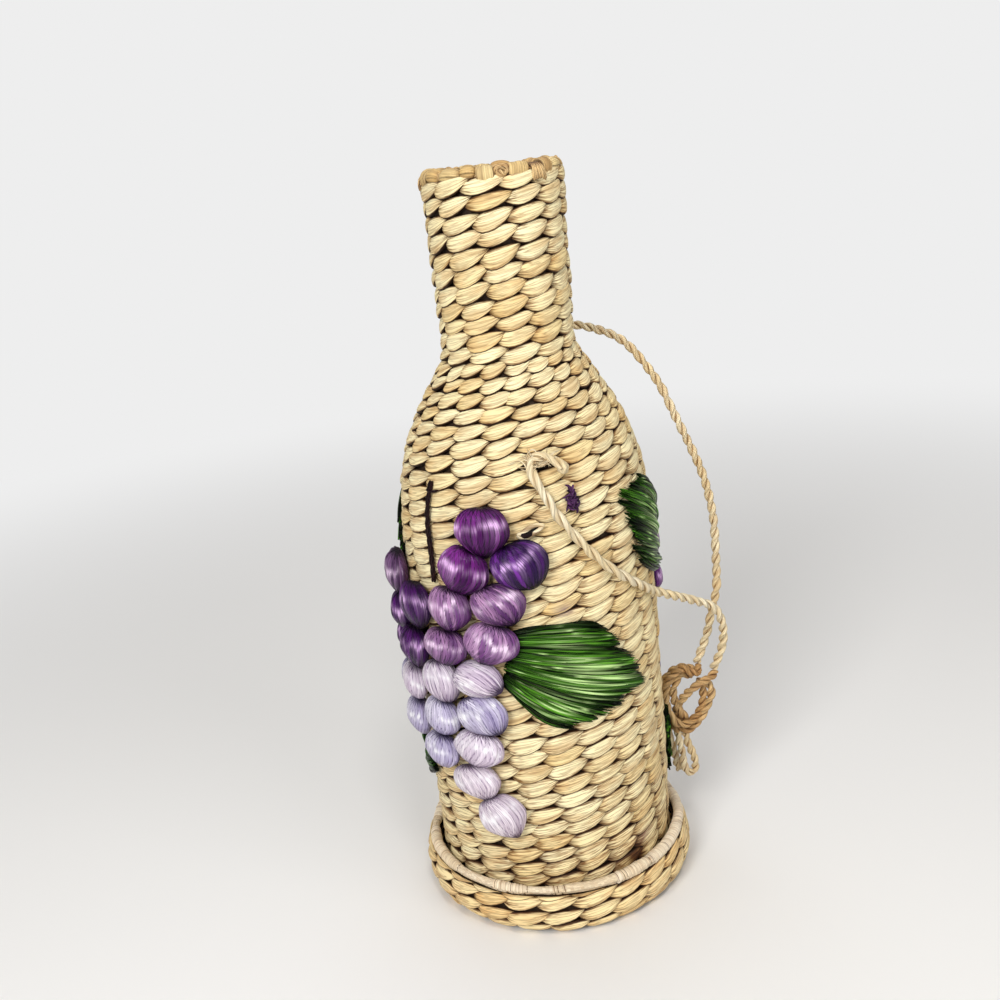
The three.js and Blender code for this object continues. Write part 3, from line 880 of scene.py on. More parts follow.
@dataclass(frozen=True)
class Studio:
    """A pale floor and backdrop with soft light. Lengths in metres and colours in sRGB."""

    floor_colour: str = "f1efec"
    wall_colour: str = "eeeeee"  # that the camera sees behind the floor
    floor_reach: float = 30.0
    fade: tuple[float, float] = (0.25, 1.1)  # distances over which the floor turns into the wall
    fill: float = 0.3  # strength of the light from all round
    lamps: tuple[Softbox, ...] = (
        Softbox((-0.45, -1.0, 0.85), (0.0, 0.0, 0.12), 0.4, 9.5),
        Softbox((0.12, -0.62, 1.05), (0.0, 0.0, 0.14), 0.2, 2.6),
        Softbox((0.75, -0.75, 0.75), (0.0, 0.0, 0.14), 0.6, 3.0),
        Softbox((0.0, 0.5, 1.3), (0.0, 0.0, 0.2), 0.9, 3.5),
    )

    def build(self) -> None:
        """Makes the floor, the world's light and the lamps."""
        floor, far = bpy.data.meshes.new("studio_floor"), self.floor_reach
        floor.from_pydata([(-far, -far, 0), (far, -far, 0), (far, far, 0), (-far, far, 0)], [], [(0, 1, 2, 3)])
        floor.materials.append(self._floor_material())
        link("studio_floor", floor)
        world = bpy.context.scene.world = emptied(bpy.data.worlds.new("studio_air"))
        seen = add_node(world, "LightPath").outputs["Is Camera Ray"]
        light = add_node(world, "Background", {"Color": linear("ffffff"), "Strength": self.fill})
        backdrop = add_node(world, "Background", {"Color": linear(self.wall_colour), "Strength": 1.0})
        both = add_node(world, "MixShader", {0: seen, 1: light.outputs[0], 2: backdrop.outputs[0]})
        add_node(world, "OutputWorld", {"Surface": both.outputs[0]})
        for number, lamp in enumerate(self.lamps):
            data = bpy.data.lights.new(f"softbox_{number}", "AREA")
            data.size, data.energy = lamp.size, lamp.power
            holder = link(f"softbox_{number}", data)
            holder.location, holder.rotation_mode = lamp.place, "QUATERNION"
            holder.rotation_quaternion = (Vector(lamp.target) - Vector(lamp.place)).to_track_quat("-Z", "Y")

    def _floor_material(self) -> Material:
        """Makes the floor's material.

        Returns:
            The material, matt near the basket and of the wall's plain colour far away.
        """
        m = emptied(bpy.data.materials.new("matt_pale_floor"))
        near = add_node(m, "BsdfPrincipled", {"Base Color": linear(self.floor_colour), "Roughness": 0.8})
        far = add_node(m, "Emission", {"Color": linear(self.wall_colour), "Strength": 1.0})
        place = add_node(m, "TexCoord").outputs["Object"]
        reach = add_node(m, "VectorMath", {0: place}, operation="LENGTH").outputs["Value"]
        fade = {0: reach, 1: self.fade[0], 2: self.fade[1]}
        away = add_node(m, "MapRange", fade, interpolation_type="SMOOTHSTEP").outputs[0]
        seen = add_node(m, "LightPath").outputs["Is Camera Ray"]
        share = add_node(m, "Math", {0: away, 1: seen}, operation="MULTIPLY").outputs[0]
        both = add_node(m, "MixShader", {0: share, 1: near.outputs[0], 2: far.outputs[0]})
        add_node(m, "OutputMaterial", {"Surface": both.outputs[0]})
        return m


# Handle


@dataclass(frozen=True)
class Handle:
    """The carrying cord: two runs to a knot, and two hidden runs inside the cover. Lengths in mm."""

    hole_azimuth: float = 19.1  # of the front hole; the rear one is opposite
    hole_height: float = 212.7
    stub: float = 10.0  # how far a cord reaches in past the cover's face
    leg_radius: float = 42.5  # from the axis to a hidden run
    leg_foot: float = 6.35  # height where a hidden run stands on the tray's floor
    diameter: float = 4.0
    front_route: tuple[Point, ...] = (
        (16.2, -52.0, 213.0), (17.2, -54.4, 213.6), (14.9, -51.9, 215.2), (11.0, -50.6, 217.2),
        (7.2, -50.6, 218.2), (4.2, -51.0, 217.6), (4.0, -52.7, 213.4), (5.6, -54.6, 208.6),
        (8.6, -55.6, 203.0), (12.3, -55.9, 195.2), (17.5, -55.0, 187.0), (22.9, -53.6, 179.2),
        (29.0, -50.8, 171.4), (35.3, -46.6, 164.4), (41.8, -40.5, 157.6), (47.4, -33.6, 151.6),
        (52.6, -26.2, 146.0), (59.2, -20.4, 141.2), (66.4, -15.0, 136.8), (74.8, -8.2, 130.8),
        (81.0, -3.4, 126.2), (85.2, -0.2, 118.6), (86.6, 2.4, 109.8), (85.6, 4.8, 100.4),
        (81.7, 7.8, 88.6),
    )
    rear_route: tuple[Point, ...] = (
        (-17.6, 50.8, 213.0), (-18.5, 53.8, 214.4), (-17.2, 55.6, 219.0), (-13.0, 55.6, 227.0),
        (-6.0, 53.4, 236.2), (3.4, 49.4, 244.6), (13.6, 44.8, 250.8), (23.6, 40.4, 254.4),
        (32.8, 37.4, 254.9), (39.5, 36.2, 253.0), (48.4, 35.5, 248.9), (54.9, 35.0, 243.7),
        (62.4, 34.0, 233.7), (68.1, 32.5, 223.9), (72.0, 31.0, 214.3), (75.8, 29.0, 204.8),
        (80.5, 27.0, 192.7), (84.6, 24.5, 180.7), (86.8, 22.0, 168.9), (87.7, 19.5, 157.2),
        (87.2, 16.0, 141.0), (86.0, 13.0, 127.0), (82.8, 11.0, 116.9), (80.8, 10.0, 109.3),
        (77.8, 9.0, 101.2), (74.1, 8.2, 92.6),
    )
    knot_turns: tuple[tuple[Point, ...], ...] = (
        (
            (74.8, 6.0, 93.2), (73.0, 4.0, 89.4), (70.6, 3.5, 90.5), (67.5, 4.5, 92.2), (63.2, 5.0, 89.9),
            (59.6, 5.0, 85.3), (58.0, 4.5, 79.5), (58.4, 4.5, 71.9), (60.9, 4.5, 65.9), (64.7, 4.5, 62.6),
            (68.9, 5.0, 63.2), (72.6, 6.0, 66.1), (75.4, 7.0, 70.6), (76.4, 8.0, 75.7), (76.1, 8.5, 80.6),
            (74.0, 9.0, 83.7),
        ),
        (
            (83.3, 7.5, 87.8), (79.4, 5.0, 85.7), (74.1, 3.0, 84.0), (69.5, 3.0, 81.0), (66.1, 4.5, 76.7),
            (64.0, 7.5, 71.6), (63.0, 9.5, 66.2), (65.6, 10.0, 61.8), (69.6, 10.0, 62.0),
        ),
        (
            (71.4, 8.0, 85.7), (67.3, 8.0, 88.0), (63.6, 7.0, 84.5), (61.9, 6.5, 79.3), (62.7, 6.5, 73.5),
            (65.2, 7.0, 67.9), (67.7, 8.0, 63.9),
        ),
        (
            (78.5, 9.0, 81.9), (80.4, 8.0, 78.5), (79.6, 7.0, 74.0), (76.7, 6.0, 68.5), (73.8, 7.0, 63.2),
            (69.4, 8.0, 58.3), (64.5, 8.0, 57.8), (59.6, 8.5, 61.3), (56.6, 9.0, 68.4), (56.4, 9.5, 75.8),
            (57.6, 10.0, 81.8), (60.7, 10.0, 87.1), (65.4, 10.0, 90.1), (69.9, 9.5, 90.1), (73.1, 9.0, 88.2),
        ),
    )
    tails: tuple[tuple[Point, ...], ...] = (
        (
            (59.1, 10.0, 58.9), (59.3, 10.0, 54.0), (60.4, 10.5, 48.4), (61.5, 11.0, 42.7), (62.2, 11.0, 38.0),
            (63.0, 11.0, 34.0),
        ),
        (
            (63.0, 8.0, 58.0), (63.5, 7.5, 51.7), (64.7, 7.5, 45.1), (65.1, 7.5, 39.1), (66.7, 7.5, 34.7),
            (69.9, 8.0, 34.7), (70.7, 8.0, 39.5), (69.6, 8.0, 44.9), (67.8, 8.0, 50.3), (66.7, 8.0, 56.3),
        ),
    )

    def build(self, pale: Material, cord: Material, knot: Material) -> None:
        """Args:
            pale: Material of the front run, which has been combed out to pale fibre.
            cord: Material of the other free runs.
            knot: Material of the knot, which is darker than the free runs.
        """
        turns = [Rope(self.diameter, lay=9.5, seed=20 + i).tubes(t) for i, t in enumerate(self.knot_turns)]
        ends = [Rope(self.diameter * 0.95, lay=9.0, seed=40 + i).tubes(t) for i, t in enumerate(self.tails)]
        tied = [
            add_piece("handle_knot_turns", turns, knot, "cover", "rush_cord", "handle_knot"),
            add_piece("handle_tails", ends, cord, "cover", "rush_cord"),
        ]
        front = Rope(self.diameter, loose_lay=21.0, loose_length=95.0)
        self._run("front", 0.0, self.front_route, front, pale)
        self._run("rear", 180.0, self.rear_route, Rope(self.diameter, lay=12.0, seed=6), cord)
        for name, turn in (("front", 0.0), ("rear", 180.0)):
            self._leg(name, self.hole_azimuth + turn, cord)

    def _run(
        self, name: str, turn: float, route: Sequence[Point], rope: Rope, material: Material,
    ) -> None:
        """Makes one free run, from inside its hole to the knot.

        Args:
            name: Which hole it leaves.
            turn: Degrees from the front hole to this one.
            route: The run's points outside the cover.
            rope: The cord.
            material: Its material.
        """
        reach = float(SHAPE.radius(self.hole_height)) - np.array([self.stub, self.stub / 2, 0.0])
        stub = round_axis(self.hole_azimuth + turn, reach, self.hole_height)
        plies, path = rope.twist([*stub, *route])
        length = float(np.linalg.norm(np.diff(path, axis=0), axis=1).sum())
        add_piece(f"handle_run_{name}", [plies], material, "cover", "rush_cord", f"handle_cord_{name}")

    def _leg(self, name: str, azimuth: float, material: Material) -> None:
        """Makes one hidden run, from its stopper knot on the tray's floor up to the hole.

        Args:
            name: Which hole it climbs to.
            azimuth: Of that hole, degrees.
            material: Its material.
        """
        foot, top = self.leg_foot + 0.4, self.hole_height - self.diameter / 2 - 0.35

        def at(height: Array | float) -> Array:
            """Points on the run's line at heights."""
            return round_axis(azimuth, self.leg_radius, height)

        plies, path = Rope(self.diameter, lay=10.0, seed=8).twist(at(np.linspace(foot, top, 20)))
        angle = np.radians(np.linspace(0, 430, 24))
        coil = [1.7 * np.cos(angle), 1.7 * np.sin(angle), self.leg_foot + 2.0 + np.linspace(0, 2.4, 24)]
        stopper = Rope(2.6, lay=7.0, seed=9, step=0.5).tubes(at(0.0) + np.stack(coil, -1))
        node = f"inner_cord_{name}"
        piece = add_piece(f"hidden_run_{name}", [plies], material, "tray", "rush_cord", node, rides=False)
        tuple(at(self.leg_foot + 8) * MM)
        tuple(at(top - 5) * MM)
        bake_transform(piece)
        stop = add_piece(f"hidden_run_stopper_{name}", [stopper], material, "tray", "rush_cord")


# Woven parts


@dataclass(frozen=True)
class Cover:
    """The woven cover: one spiral of stitches from foot to mouth outside, one inside, and stakes between."""

    SAMPLES = 200  # of a line to weave on
    STAKE_INSETS = (2.7, 3.5)  # from the outside to the stakes' two faces
    LINING_PITCH = 6.8  # from row to row inside

    first_row: float = 10.6  # height of the middle of the first row, mm
    neck_start: float = 252.6  # height where the neck's wider stitches begin
    last_row: float = 326.4  # height where the spiral ends
    wall: float = 6.0
    sunk: float = 1.45  # how deep the stitches' middles lie below the outside
    # Heights at which the spiral passes the front, as seen in the photograph; the foot and the part
    # behind the grapes go on at the same spacing.
    courses: tuple[float, ...] = (
        2.8, 9.7, 16.6, 23.6, 30.3, 37.0, 43.9, 50.6, 57.4, 64.8, 71.7, 78.4, 85.4, 92.4, 99.6, 106.6, 113.5, 120.4,
        127.3, 134.2, 141.1, 148.0, 154.9, 161.8, 168.7, 175.6, 182.5, 189.2, 195.7, 202.3, 209.1, 215.7, 221.9,
        227.9, 233.7, 239.4, 244.9, 250.2, 255.9, 262.2, 268.8, 275.2, 281.7, 288.6, 296.0, 303.2, 310.1, 317.0,
        323.8, 330.6,
    )
    zones: tuple[tuple[str, float], ...] = (  # name and lower edge of each piece of the weave
        ("foot", 0.0), ("belly", 84.0), ("shoulder", 160.0), ("crown", 206.0), ("neck", 240.0),
    )
    spots: tuple[Spot, ...] = (
        # The three broad scorched spots at the foot make its lowest rows browner and darker.
        Spot(Mark.PARTED, 12.0, 213.4, 6.0, 1.5), Spot(Mark.SCORCHED, 30.0, 22.0, 24.0, 0.2),
        Spot(Mark.SCORCHED, -14.0, 20.0, 20.0, 0.2), Spot(Mark.SCORCHED, 76.0, 20.0, 20.0, 0.2),
        Spot(Mark.PARTED, 192.0, 213.4, 6.0, 1.5), Spot(Mark.DYED, 12.5, 152.5, 3.6, 0.6),
        Spot(Mark.DYED, 45.0, 32.5, 5.0, 0.3), Spot(Mark.SCORCHED, 38.0, 26.0, 5.5, 0.8),
        Spot(Mark.SCORCHED, -52.0, 24.0, 4.5, 0.4), Spot(Mark.SCORCHED, 150.0, 96.0, 6.0, 0.6),
        Spot(Mark.SCORCHED, -130.0, 200.0, 5.0, 0.5), Spot(Mark.DYED, 205.0, 120.0, 4.0, 0.4),
        # Broad painted shade in the gaps of the lower body, all round.
        *(Spot(Mark.SHADED, azimuth, 38.0, 58.0, 0.17) for azimuth in (0.0, 120.0, 240.0)),
    )

    def build(self, rush: Material, stakes: Material) -> None:
        """Makes the cover's weave and core.

        Args:
            rush: Material of the stitches.
            stakes: Material of the stakes between them, dark with painted shade.
        """
        heights = np.linspace(self.first_row - 6, self.last_row + 3, self.SAMPLES)
        line = Meridian(SHAPE.radius(heights) - self.sunk, heights)
        at = line.length_at
        body = Stakes(
            22, phase=-3.6, level=at(50), lean=-0.175, merged=(8, 16), merged_phase=3.3, merge=(at(150), at(200)),
            fullness=1.13,
        )
        neck = Stakes(12, phase=3.0, level=at(282), lean=-0.26, overlap=1.44, fullness=1.2, bulge=2.3)
        courses = tuple(at(level) for level in self.courses)
        spiral = Twining(((0.0, body), (at(self.neck_start), neck)), courses, seed=3, spots=self.spots)
        whole = spiral.lay(line, at(self.first_row), at(self.last_row))
        level = whole.rings[..., 2].mean((1, 2))
        lows = [low for _, low in self.zones] + [math.inf]
        for (name, low), high in zip(self.zones, lows[1:]):
            node = "cover_neck" if name == "neck" else "cover_body"
            zone = whole.part((level >= low) & (level < high))
            add_piece(f"cover_weave_{name}", [zone], rush, "cover", "rush_weave", node)
        heights = np.linspace(self.last_row - 3, self.first_row - 2, self.SAMPLES)
        lining = Meridian(SHAPE.radius(heights) - self.wall + self.sunk, heights)
        sets = ((0.0, Stakes(12, bulge=1.4)), (self.last_row - self.neck_start, Stakes(20, bulge=1.4)))
        courses = tuple(np.arange(-7, lining.length + 14, self.LINING_PITCH))
        inside = Twining(sets, courses, dive=(1.4, 1.0), rings=8, corners=8, seed=21)
        woven = [inside.lay(lining, 2.0, lining.length - 1)]
        add_piece("cover_lining_weave", woven, rush, "cover", "rush_weave")
        # The stakes' core, dark with painted shade, fills the gaps between the stitches.
        levels = np.linspace(self.first_row - 3.6, self.last_row - 2, 44)
        faces = [np.stack([SHAPE.radius(levels) - inset, levels], -1) for inset in self.STAKE_INSETS]
        core = [revolved(np.concatenate([faces[0], faces[1][::-1]]), 20, 0.3)]
        add_piece("cover_stakes", core, stakes, "cover", "rush_weave")


class Bend(Enum):
    """How a stake's end is turned down at the mouth."""

    LAID = "laid along the edge"
    FOLDED = "folded over the edge"
    KNOTTED = "tied in a flat knot"
    FANNED = "spread down over the weave"


@dataclass(frozen=True)
class Border:
    """The border of the mouth: the stakes' ends turned down one after another over the edge. Lengths in mm."""

    outer: float = 28.2  # radius
    inner: float = 23.2
    top: float = 330.6  # height of the folds
    low: float = 322.5  # height where the folds go under the weave
    # How each end is turned down, and the azimuth where the next one begins; the first begins where the
    # last ends.
    bends: tuple[tuple[Bend, float], ...] = (
        (Bend.LAID, -27.0), (Bend.LAID, -13.0), (Bend.FOLDED, 2.0), (Bend.KNOTTED, 15.0), (Bend.FOLDED, 33.0),
        (Bend.FANNED, 47.0), (Bend.FOLDED, 59.0), (Bend.LAID, 80.0), (Bend.FOLDED, 95.0), (Bend.KNOTTED, 108.0),
        (Bend.LAID, 130.0), (Bend.FOLDED, 146.0), (Bend.FANNED, 160.0), (Bend.LAID, 181.0), (Bend.FOLDED, 196.0),
        (Bend.FOLDED, 212.0), (Bend.KNOTTED, 225.0), (Bend.LAID, 247.0), (Bend.FOLDED, 262.0), (Bend.FANNED, 276.0),
        (Bend.FOLDED, 290.0), (Bend.LAID, 311.0),
    )

    @property
    def middle(self) -> float:
        """Radius of the edge's middle."""
        return (self.outer + self.inner) / 2

    def build(self, wrap: Material, dark: Material) -> None:
        """Makes every end and the ring of rush beneath them.

        Args:
            wrap: Material of the folded and laid ends.
            dark: Material of the ring, the knots and the fans.
        """
        rng = np.random.default_rng(31)
        stops = [stop for _, stop in self.bends]
        spans = {bend: [] for bend in Bend}
        for (bend, stop), start in zip(self.bends, [stops[-1] - 360, *stops]):
            spans[bend].append(((start + stop) / 2, stop - start))
        pale = [self._folded(spans[Bend.FOLDED], rng), self._laid(spans[Bend.LAID], rng)]
        add_piece("mouth_border_folds", pale, wrap, "cover", "rush_border", "mouth_border")
        turn, inner = np.linspace(0, 359, 60), np.linspace(10, 369, 60)
        batches = [
            Rope(4.6, lay=13.0, seed=32, step=0.9).tubes(
                round_axis(turn, self.middle + 0.4 * np.sin(3 * turn), self.top - 3.4)
            ),
            Rope(4.4, lay=15.0, seed=33, step=0.9).tubes(round_axis(inner, self.middle, self.low + 3.0)),
        ]
        coil = np.linspace(0, 13.0, 30)
        size = np.linspace(0.9, 0.3, 30) + 0.1 * np.sin(2.3 * coil)
        for azimuth, _ in spans[Bend.KNOTTED]:
            knot = round_axis(
                azimuth + 5.6 * size * np.cos(coil), self.outer - 0.2 + 1.2 * (1 - size),
                self.top - 2.6 + 2.5 * size * np.sin(coil),
            )
            aside, out = np.array([-6, -2, 3, 6]), np.array([2, -1, -1, 2])
            over = round_axis(azimuth + aside, self.middle + out, self.top - 1.7)
            batches.append(Rope(2.1, lay=6.0, seed=34, step=0.5, corners=10).tubes(knot))
            batches.append(Rope(3.2, lay=8.0, seed=36, step=0.6, corners=10).tubes(over))
        thread = Rope(1.35, lay=9.0, plies=1, seed=35, step=0.5, corners=8)
        for azimuth, _ in spans[Bend.FANNED]:
            for spread in np.linspace(-1, 1, 10):
                end, proud = rng.normal(0, 0.5), rng.uniform(-0.4, 0.5)
                turned = azimuth + np.array([-2, -2, -1, 1]) + np.array([4.0, 4.5, 5.5, 6.5]) * spread
                edge, face = self.middle + np.array([-1.5, 1.4]), self.outer + np.array([0.6, 1.7]) + proud
                down = self.top - np.array([1.8, 0.8, 3.0, 7.4 - end])
                batches.append(thread.tubes(round_axis(turned, np.concatenate([edge, face]), down)))
        add_piece("mouth_border_ring", batches, dark, "cover", "rush_border")

    def _folded(self, spans: Sequence[tuple[float, float]], rng: np.random.Generator) -> Tubes:
        """Makes ends that are folded over the edge, as flat bundles of fibre.

        Args:
            spans: Azimuth of the middle and width of each, in degrees.
            rng: The border's own variation.

        Returns:
            One tube for each.
        """
        half, bend = (self.outer - self.inner) / 2, np.linspace(0, PI, 9)
        radii = self.middle + half * np.cos(bend)
        heights = self.top - half - 1.1 + half * np.sin(bend)
        line = Meridian([self.outer - 1.4, *radii, self.inner + 0.4], [self.low, *heights, self.low])
        azimuths, widths = np.array(spans).T
        count = len(azimuths)
        wide, thick = np.radians(widths) * self.middle * 0.56, rng.uniform(1.1, 1.7, count)
        lean = rng.normal(0, 1.6, count)
        s = np.linspace(0.15, line.length - 0.15, 24)[:, None]
        cross, lifted = flat_ring(15, 3, 0.65)
        near_end = np.abs(2 * s / line.length - 1)
        ridge = 0.12 * np.cos(7 * cross + each(azimuths)) * np.clip(lifted, 0, 1)
        out = each(thick) * (np.where(lifted > 0, lifted, 0.3 * lifted) + ridge) * (1 - 0.55 * near_end**4)
        across = each(wide) * (1 - 0.25 * near_end**3) * cross
        aside = across + each(lean) * (s / line.length - 0.5)
        points = line.place(each(azimuths) + np.degrees(aside / line.at(s)[0]), s + 0 * aside, out + 0 * aside)
        points[..., 2] += each(rng.uniform(-0.5, 0.4, count))
        # Tone differs from end to end; painted shade darkens its edges and the ends that go under the weave.
        tint, rim = each(rng.uniform(0.0, 0.7, count)), 0.8 * np.abs(cross) ** 5 + 0.6 * near_end**6
        return Tubes(points, (s, across, each(np.arange(count) * 4.3)), (tint, rim, 0.0))

    def _laid(self, spans: Sequence[tuple[float, float]], rng: np.random.Generator) -> Tubes:
        """Makes ends that lie along the edge.

        Args:
            spans: Azimuth of the middle and width of each, in degrees.
            rng: The border's own variation.

        Returns:
            One tube for each.
        """
        azimuths, widths = np.array(spans).T
        count = len(azimuths)
        u, turn = np.sin(np.linspace(-PI / 2, PI / 2, 16))[:, None], around(28)
        full = (1 - np.abs(u) ** 3.4) ** 0.6 + 0.04
        creased = 1 + 0.04 * np.cos(6 * turn + 2 * u + each(rng.uniform(0, 6, count)))
        out = self.middle + 0.5 + 3.0 * full * np.cos(turn) * creased - 0.8 * u**4
        level = self.top - 2.5 + each(rng.uniform(-0.3, 0.5, count))
        level = level + 2.7 * full * np.sin(turn) * creased - 0.6 * u**2
        half = each(widths) * 0.56
        points = round_axis(each(azimuths) + half * u + 0 * turn, out, level)
        fibre = (np.radians(half) * self.middle * u, turn * 2.8, each(np.arange(count) * 5.1))
        # Painted shade darkens both ends and the lower side.
        rim = 0.9 * np.abs(u) ** 7 + 0.3 * np.clip(-np.sin(turn), 0, 1)
        return Tubes(points, fibre, (each(rng.uniform(0.1, 1.0, count)) + 0.3 * u**4, rim, 0.0))


@dataclass(frozen=True)
class Tray:
    """The shallow woven tray, with its wrapped rim. Lengths in mm, lines as radius and height."""

    rim_radius: float = 59.2  # from the axis to the middle of the rim
    rim_height: float = 22.6
    rim_thickness: float = 4.7
    wrap_pitch: float = 1.5  # from one turn of the rim's wrapping to the next
    wall: Pairs = ((54.6, 2.5), (58.4, 3.1), (60.7, 5.2), (62.1, 8.2), (62.6, 11.5), (62.0, 15.5), (60.6, 20.6))
    inner_wall: Pairs = ((57.4, 20.0), (58.6, 15.0), (59.1, 11.0), (58.6, 7.2), (57.0, 5.4))
    floor: Pairs = ((57.0, 4.9), (39.0, 4.9), (37.0, 5.9), (9.0, 5.9))
    underside: Pairs = ((9.0, 1.5), (56.0, 1.5))
    core: Pairs = (
        (6.0, 2.4), (55.0, 2.6), (59.0, 5.4), (60.6, 11.0), (59.6, 20.5), (59.2, 20.5), (60.0, 11.0), (58.2, 6.2),
        (54.5, 4.3), (37.0, 4.4), (6.0, 4.8),
    )
    lowest: float = 0.05  # height under which nothing reaches

    def build(self, rush: Material, wrap: Material, stakes: Material) -> None:
        """Makes the tray's weave, core and rim.

        Args:
            rush: Material of the stitches.
            wrap: Material of the rim.
            stakes: Material of the stakes between the stitches, dark with painted shade.
        """
        wall, inner, floor, under = (
            Meridian(*np.array(line).T) for line in (self.wall, self.inner_wall, self.floor, self.underside)
        )
        upright = Stakes(24, phase=1.0, lean=-0.2, overlap=1.46, fullness=1.04, bulge=1.75)
        courses = (-8.0, -1.0, 5.6, 12.8, 19.2, 24.0, 28.4, 33.0)
        sides = Twining(((0.0, upright),), courses, seed=41).lay(wall, 3.4, wall.length + 1.2)
        coarse = dict(courses=tuple(np.arange(-5.6, 70, 5.6)), dive=(1.1, 0.8), rings=9, corners=9)
        inward, outward = (
            tuple((begin, Stakes(count, overlap=1.25, bulge=1.05)) for begin, count in sets)
            for sets in (((0.0, 24), (20.0, 16), (36.0, 10)), ((0.0, 10), (14.0, 16), (30.0, 24)))
        )
        top = [
            Twining(inward[:1], seed=42, **coarse).lay(inner, 1.2, inner.length),
            Twining(inward, seed=43, **coarse).lay(floor, 1.5, floor.length - 1),
            self._crossing(6.2, 1.0),
        ]
        below = [Twining(outward, seed=44, **coarse).lay(under, 1.5, under.length), self._crossing(1.2, -1.0)]
        for batch in (sides, below[0]):
            batch.rings[..., 2] = np.maximum(batch.rings[..., 2], self.lowest)
        add_piece("tray_weave_wall", [sides], rush, "tray", "rush_weave", "base_tray")
        add_piece("tray_weave_floor", top, rush, "tray", "rush_weave")
        add_piece("tray_weave_underside", below, rush, "tray", "rush_weave")
        # The stakes' core, dark with painted shade, shows in the gaps.
        add_piece("tray_stakes", [revolved(self.core, 24, 0.15)], stakes, "tray", "rush_weave")
        add_piece("tray_rim_wrapping", [self._rim()], wrap, "tray", "rush_border", "tray_rim")

    def _crossing(self, height: float, side: float) -> Tubes:
        """Lays the stakes that cross in the middle of the floor.

        Args:
            height: Of their middle, mm.
            side: 1 where they face up and -1 where they face down.

        Returns:
            Flat straps in two layers.
        """
        turn, along = around(12), np.linspace(-11.5, 11.5, 12)[:, None]
        points = []
        for layer in range(2):
            for offset in np.linspace(-8.1, 8.1, 4):
                dip = 0.35 * np.cos(along * PI / 5.4 + (offset > 0) * PI) * (1 - 2 * layer)
                level = height + 0.75 * np.sin(turn) + dip * side
                sides = [along, offset + 2.6 * np.cos(turn)]
                points.append(np.stack(np.broadcast_arrays(*sides[:: 1 - 2 * layer], level), -1))
        x, y = np.array(points)[..., 0], np.array(points)[..., 1]
        return Tubes(np.array(points), (x + y, x - y, 0.0), (0.5, 0.1, 0.0))

    def _rim(self) -> Tubes:
        """Winds the rim.

        Returns:
            A ring of turns of rush, with smooth lengths where two windings meet.
        """
        rng = np.random.default_rng(61)
        turns = int(2 * PI * self.rim_radius / self.wrap_pitch)
        azimuth, turn = np.linspace(0, 360, turns * 8, endpoint=False)[:, None], around(20)
        wound = azimuth / 360 * turns + turn / (2 * PI)
        which = np.floor(wound).astype(int) % turns
        group = np.cumsum(rng.random(turns) < 0.15)
        count = group[-1] + 1
        smooth = (rng.random(count) < 0.34).astype(float)
        width = (rng.uniform(-0.2, 0.35, count) - 0.45 * smooth)[group]
        first = np.diff(group, prepend=-1) > 0
        width = np.convolve(np.concatenate([width[-2:], width, width[:2]]), [0.15, 0.25, 0.2, 0.25, 0.15], "valid")
        ridge = np.abs(np.sin(PI * wound)) ** 0.6
        plain = smooth[group][which]
        creased = 0.5 + 0.5 * np.cos(5 * turn + 0.6 * which)
        size = self.rim_thickness / 2 - 0.2 + width[which] + rng.normal(0, 0.07, turns)[which] * (1 - plain)
        cut = bell(wound % 1 - 0.5, 0.17) * first[which]
        size = size + np.where(plain > 0, 0.16 * creased, 0.26 * ridge) - 0.35 * cut
        swing = 0.45 * np.sin(np.radians(azimuth) * 9 + 1) + 0.25 * np.sin(np.radians(azimuth) * 23)
        out = self.rim_radius + 0.4 * swing + size * np.cos(turn)
        points = round_axis(azimuth, out, self.rim_height + swing * 0.6 + size * np.sin(turn))
        along, across = turn * self.rim_thickness / 2, wound * self.wrap_pitch
        fibre = (np.where(plain > 0, across, along), np.where(plain > 0, along, across), which * 1.7)
        # Tone differs from winding to winding and a plain length is a little deeper; painted shade darkens the
        # grooves between turns, their lower side and the notch where a winding begins.
        tint = rng.random(count)[group][which] * 0.5 + 0.25 * plain
        lower = np.clip(-np.sin(turn + 0.5), 0, 1)
        rim = np.where(plain > 0, 0.2 - 0.2 * creased, (0.25 + 0.7 * lower) * (1 - ridge)) + 0.9 * cut
        return Tubes(points[None], fibre, (tint, rim, 0.0), looped=True)


# Grapes, leaves and stems


class Dye(Enum):
    """Colours of the raffia on the grapes, from the top of a bunch down."""

    # Name, pale, deep, line, painted shade at the edges, and painted highlight.
    VIOLET = ("vivid_violet_raffia", "9a36a6", "44084e", "180222", "100218", "f4c6f8")
    INDIGO = ("bluish_violet_raffia", "742e96", "1e0638", "0a021e", "080216", "e4b8f4")
    PLUM = ("dark_plum_raffia", "7a2c94", "2c073e", "10021c", "0c0216", "ecc0f4")
    SMOKE = ("greyish_violet_raffia", "9a70a0", "482452", "1c0a24", "140a1e", "f0d4f0")
    ROSE = ("rosy_mauve_raffia", "cc9ac8", "5e266e", "280832", "1c0824", "fadcf8")
    LILAC = ("pink_lilac_raffia", "dcaad8", "743a80", "301240", "200e28", "fce2fa")
    PALE = ("pale_lavender_raffia", "fdf5fa", "dccadc", "82688c", "4c3c58", "fffbff")
    BLUE = ("pale_blue_lavender_raffia", "eee8f6", "bcb0d4", "665888", "3c3456", "fcfaff")
    BLUSH = ("pale_blush_raffia", "fff6fa", "e2d2de", "8c7490", "584860", "fffbff")
    AUBERGINE = ("aubergine_raffia", "74447a", "2c0c32", "120414", "0a030a", "d8b0dc")


@dataclass(frozen=True)
class Leaf:
    """Outline of one leaf, with corners as azimuth and share of the bunch's height."""

    name: str
    lobes: int  # folded bundles of strips
    seed: int
    base: Pairs
    tips: Pairs


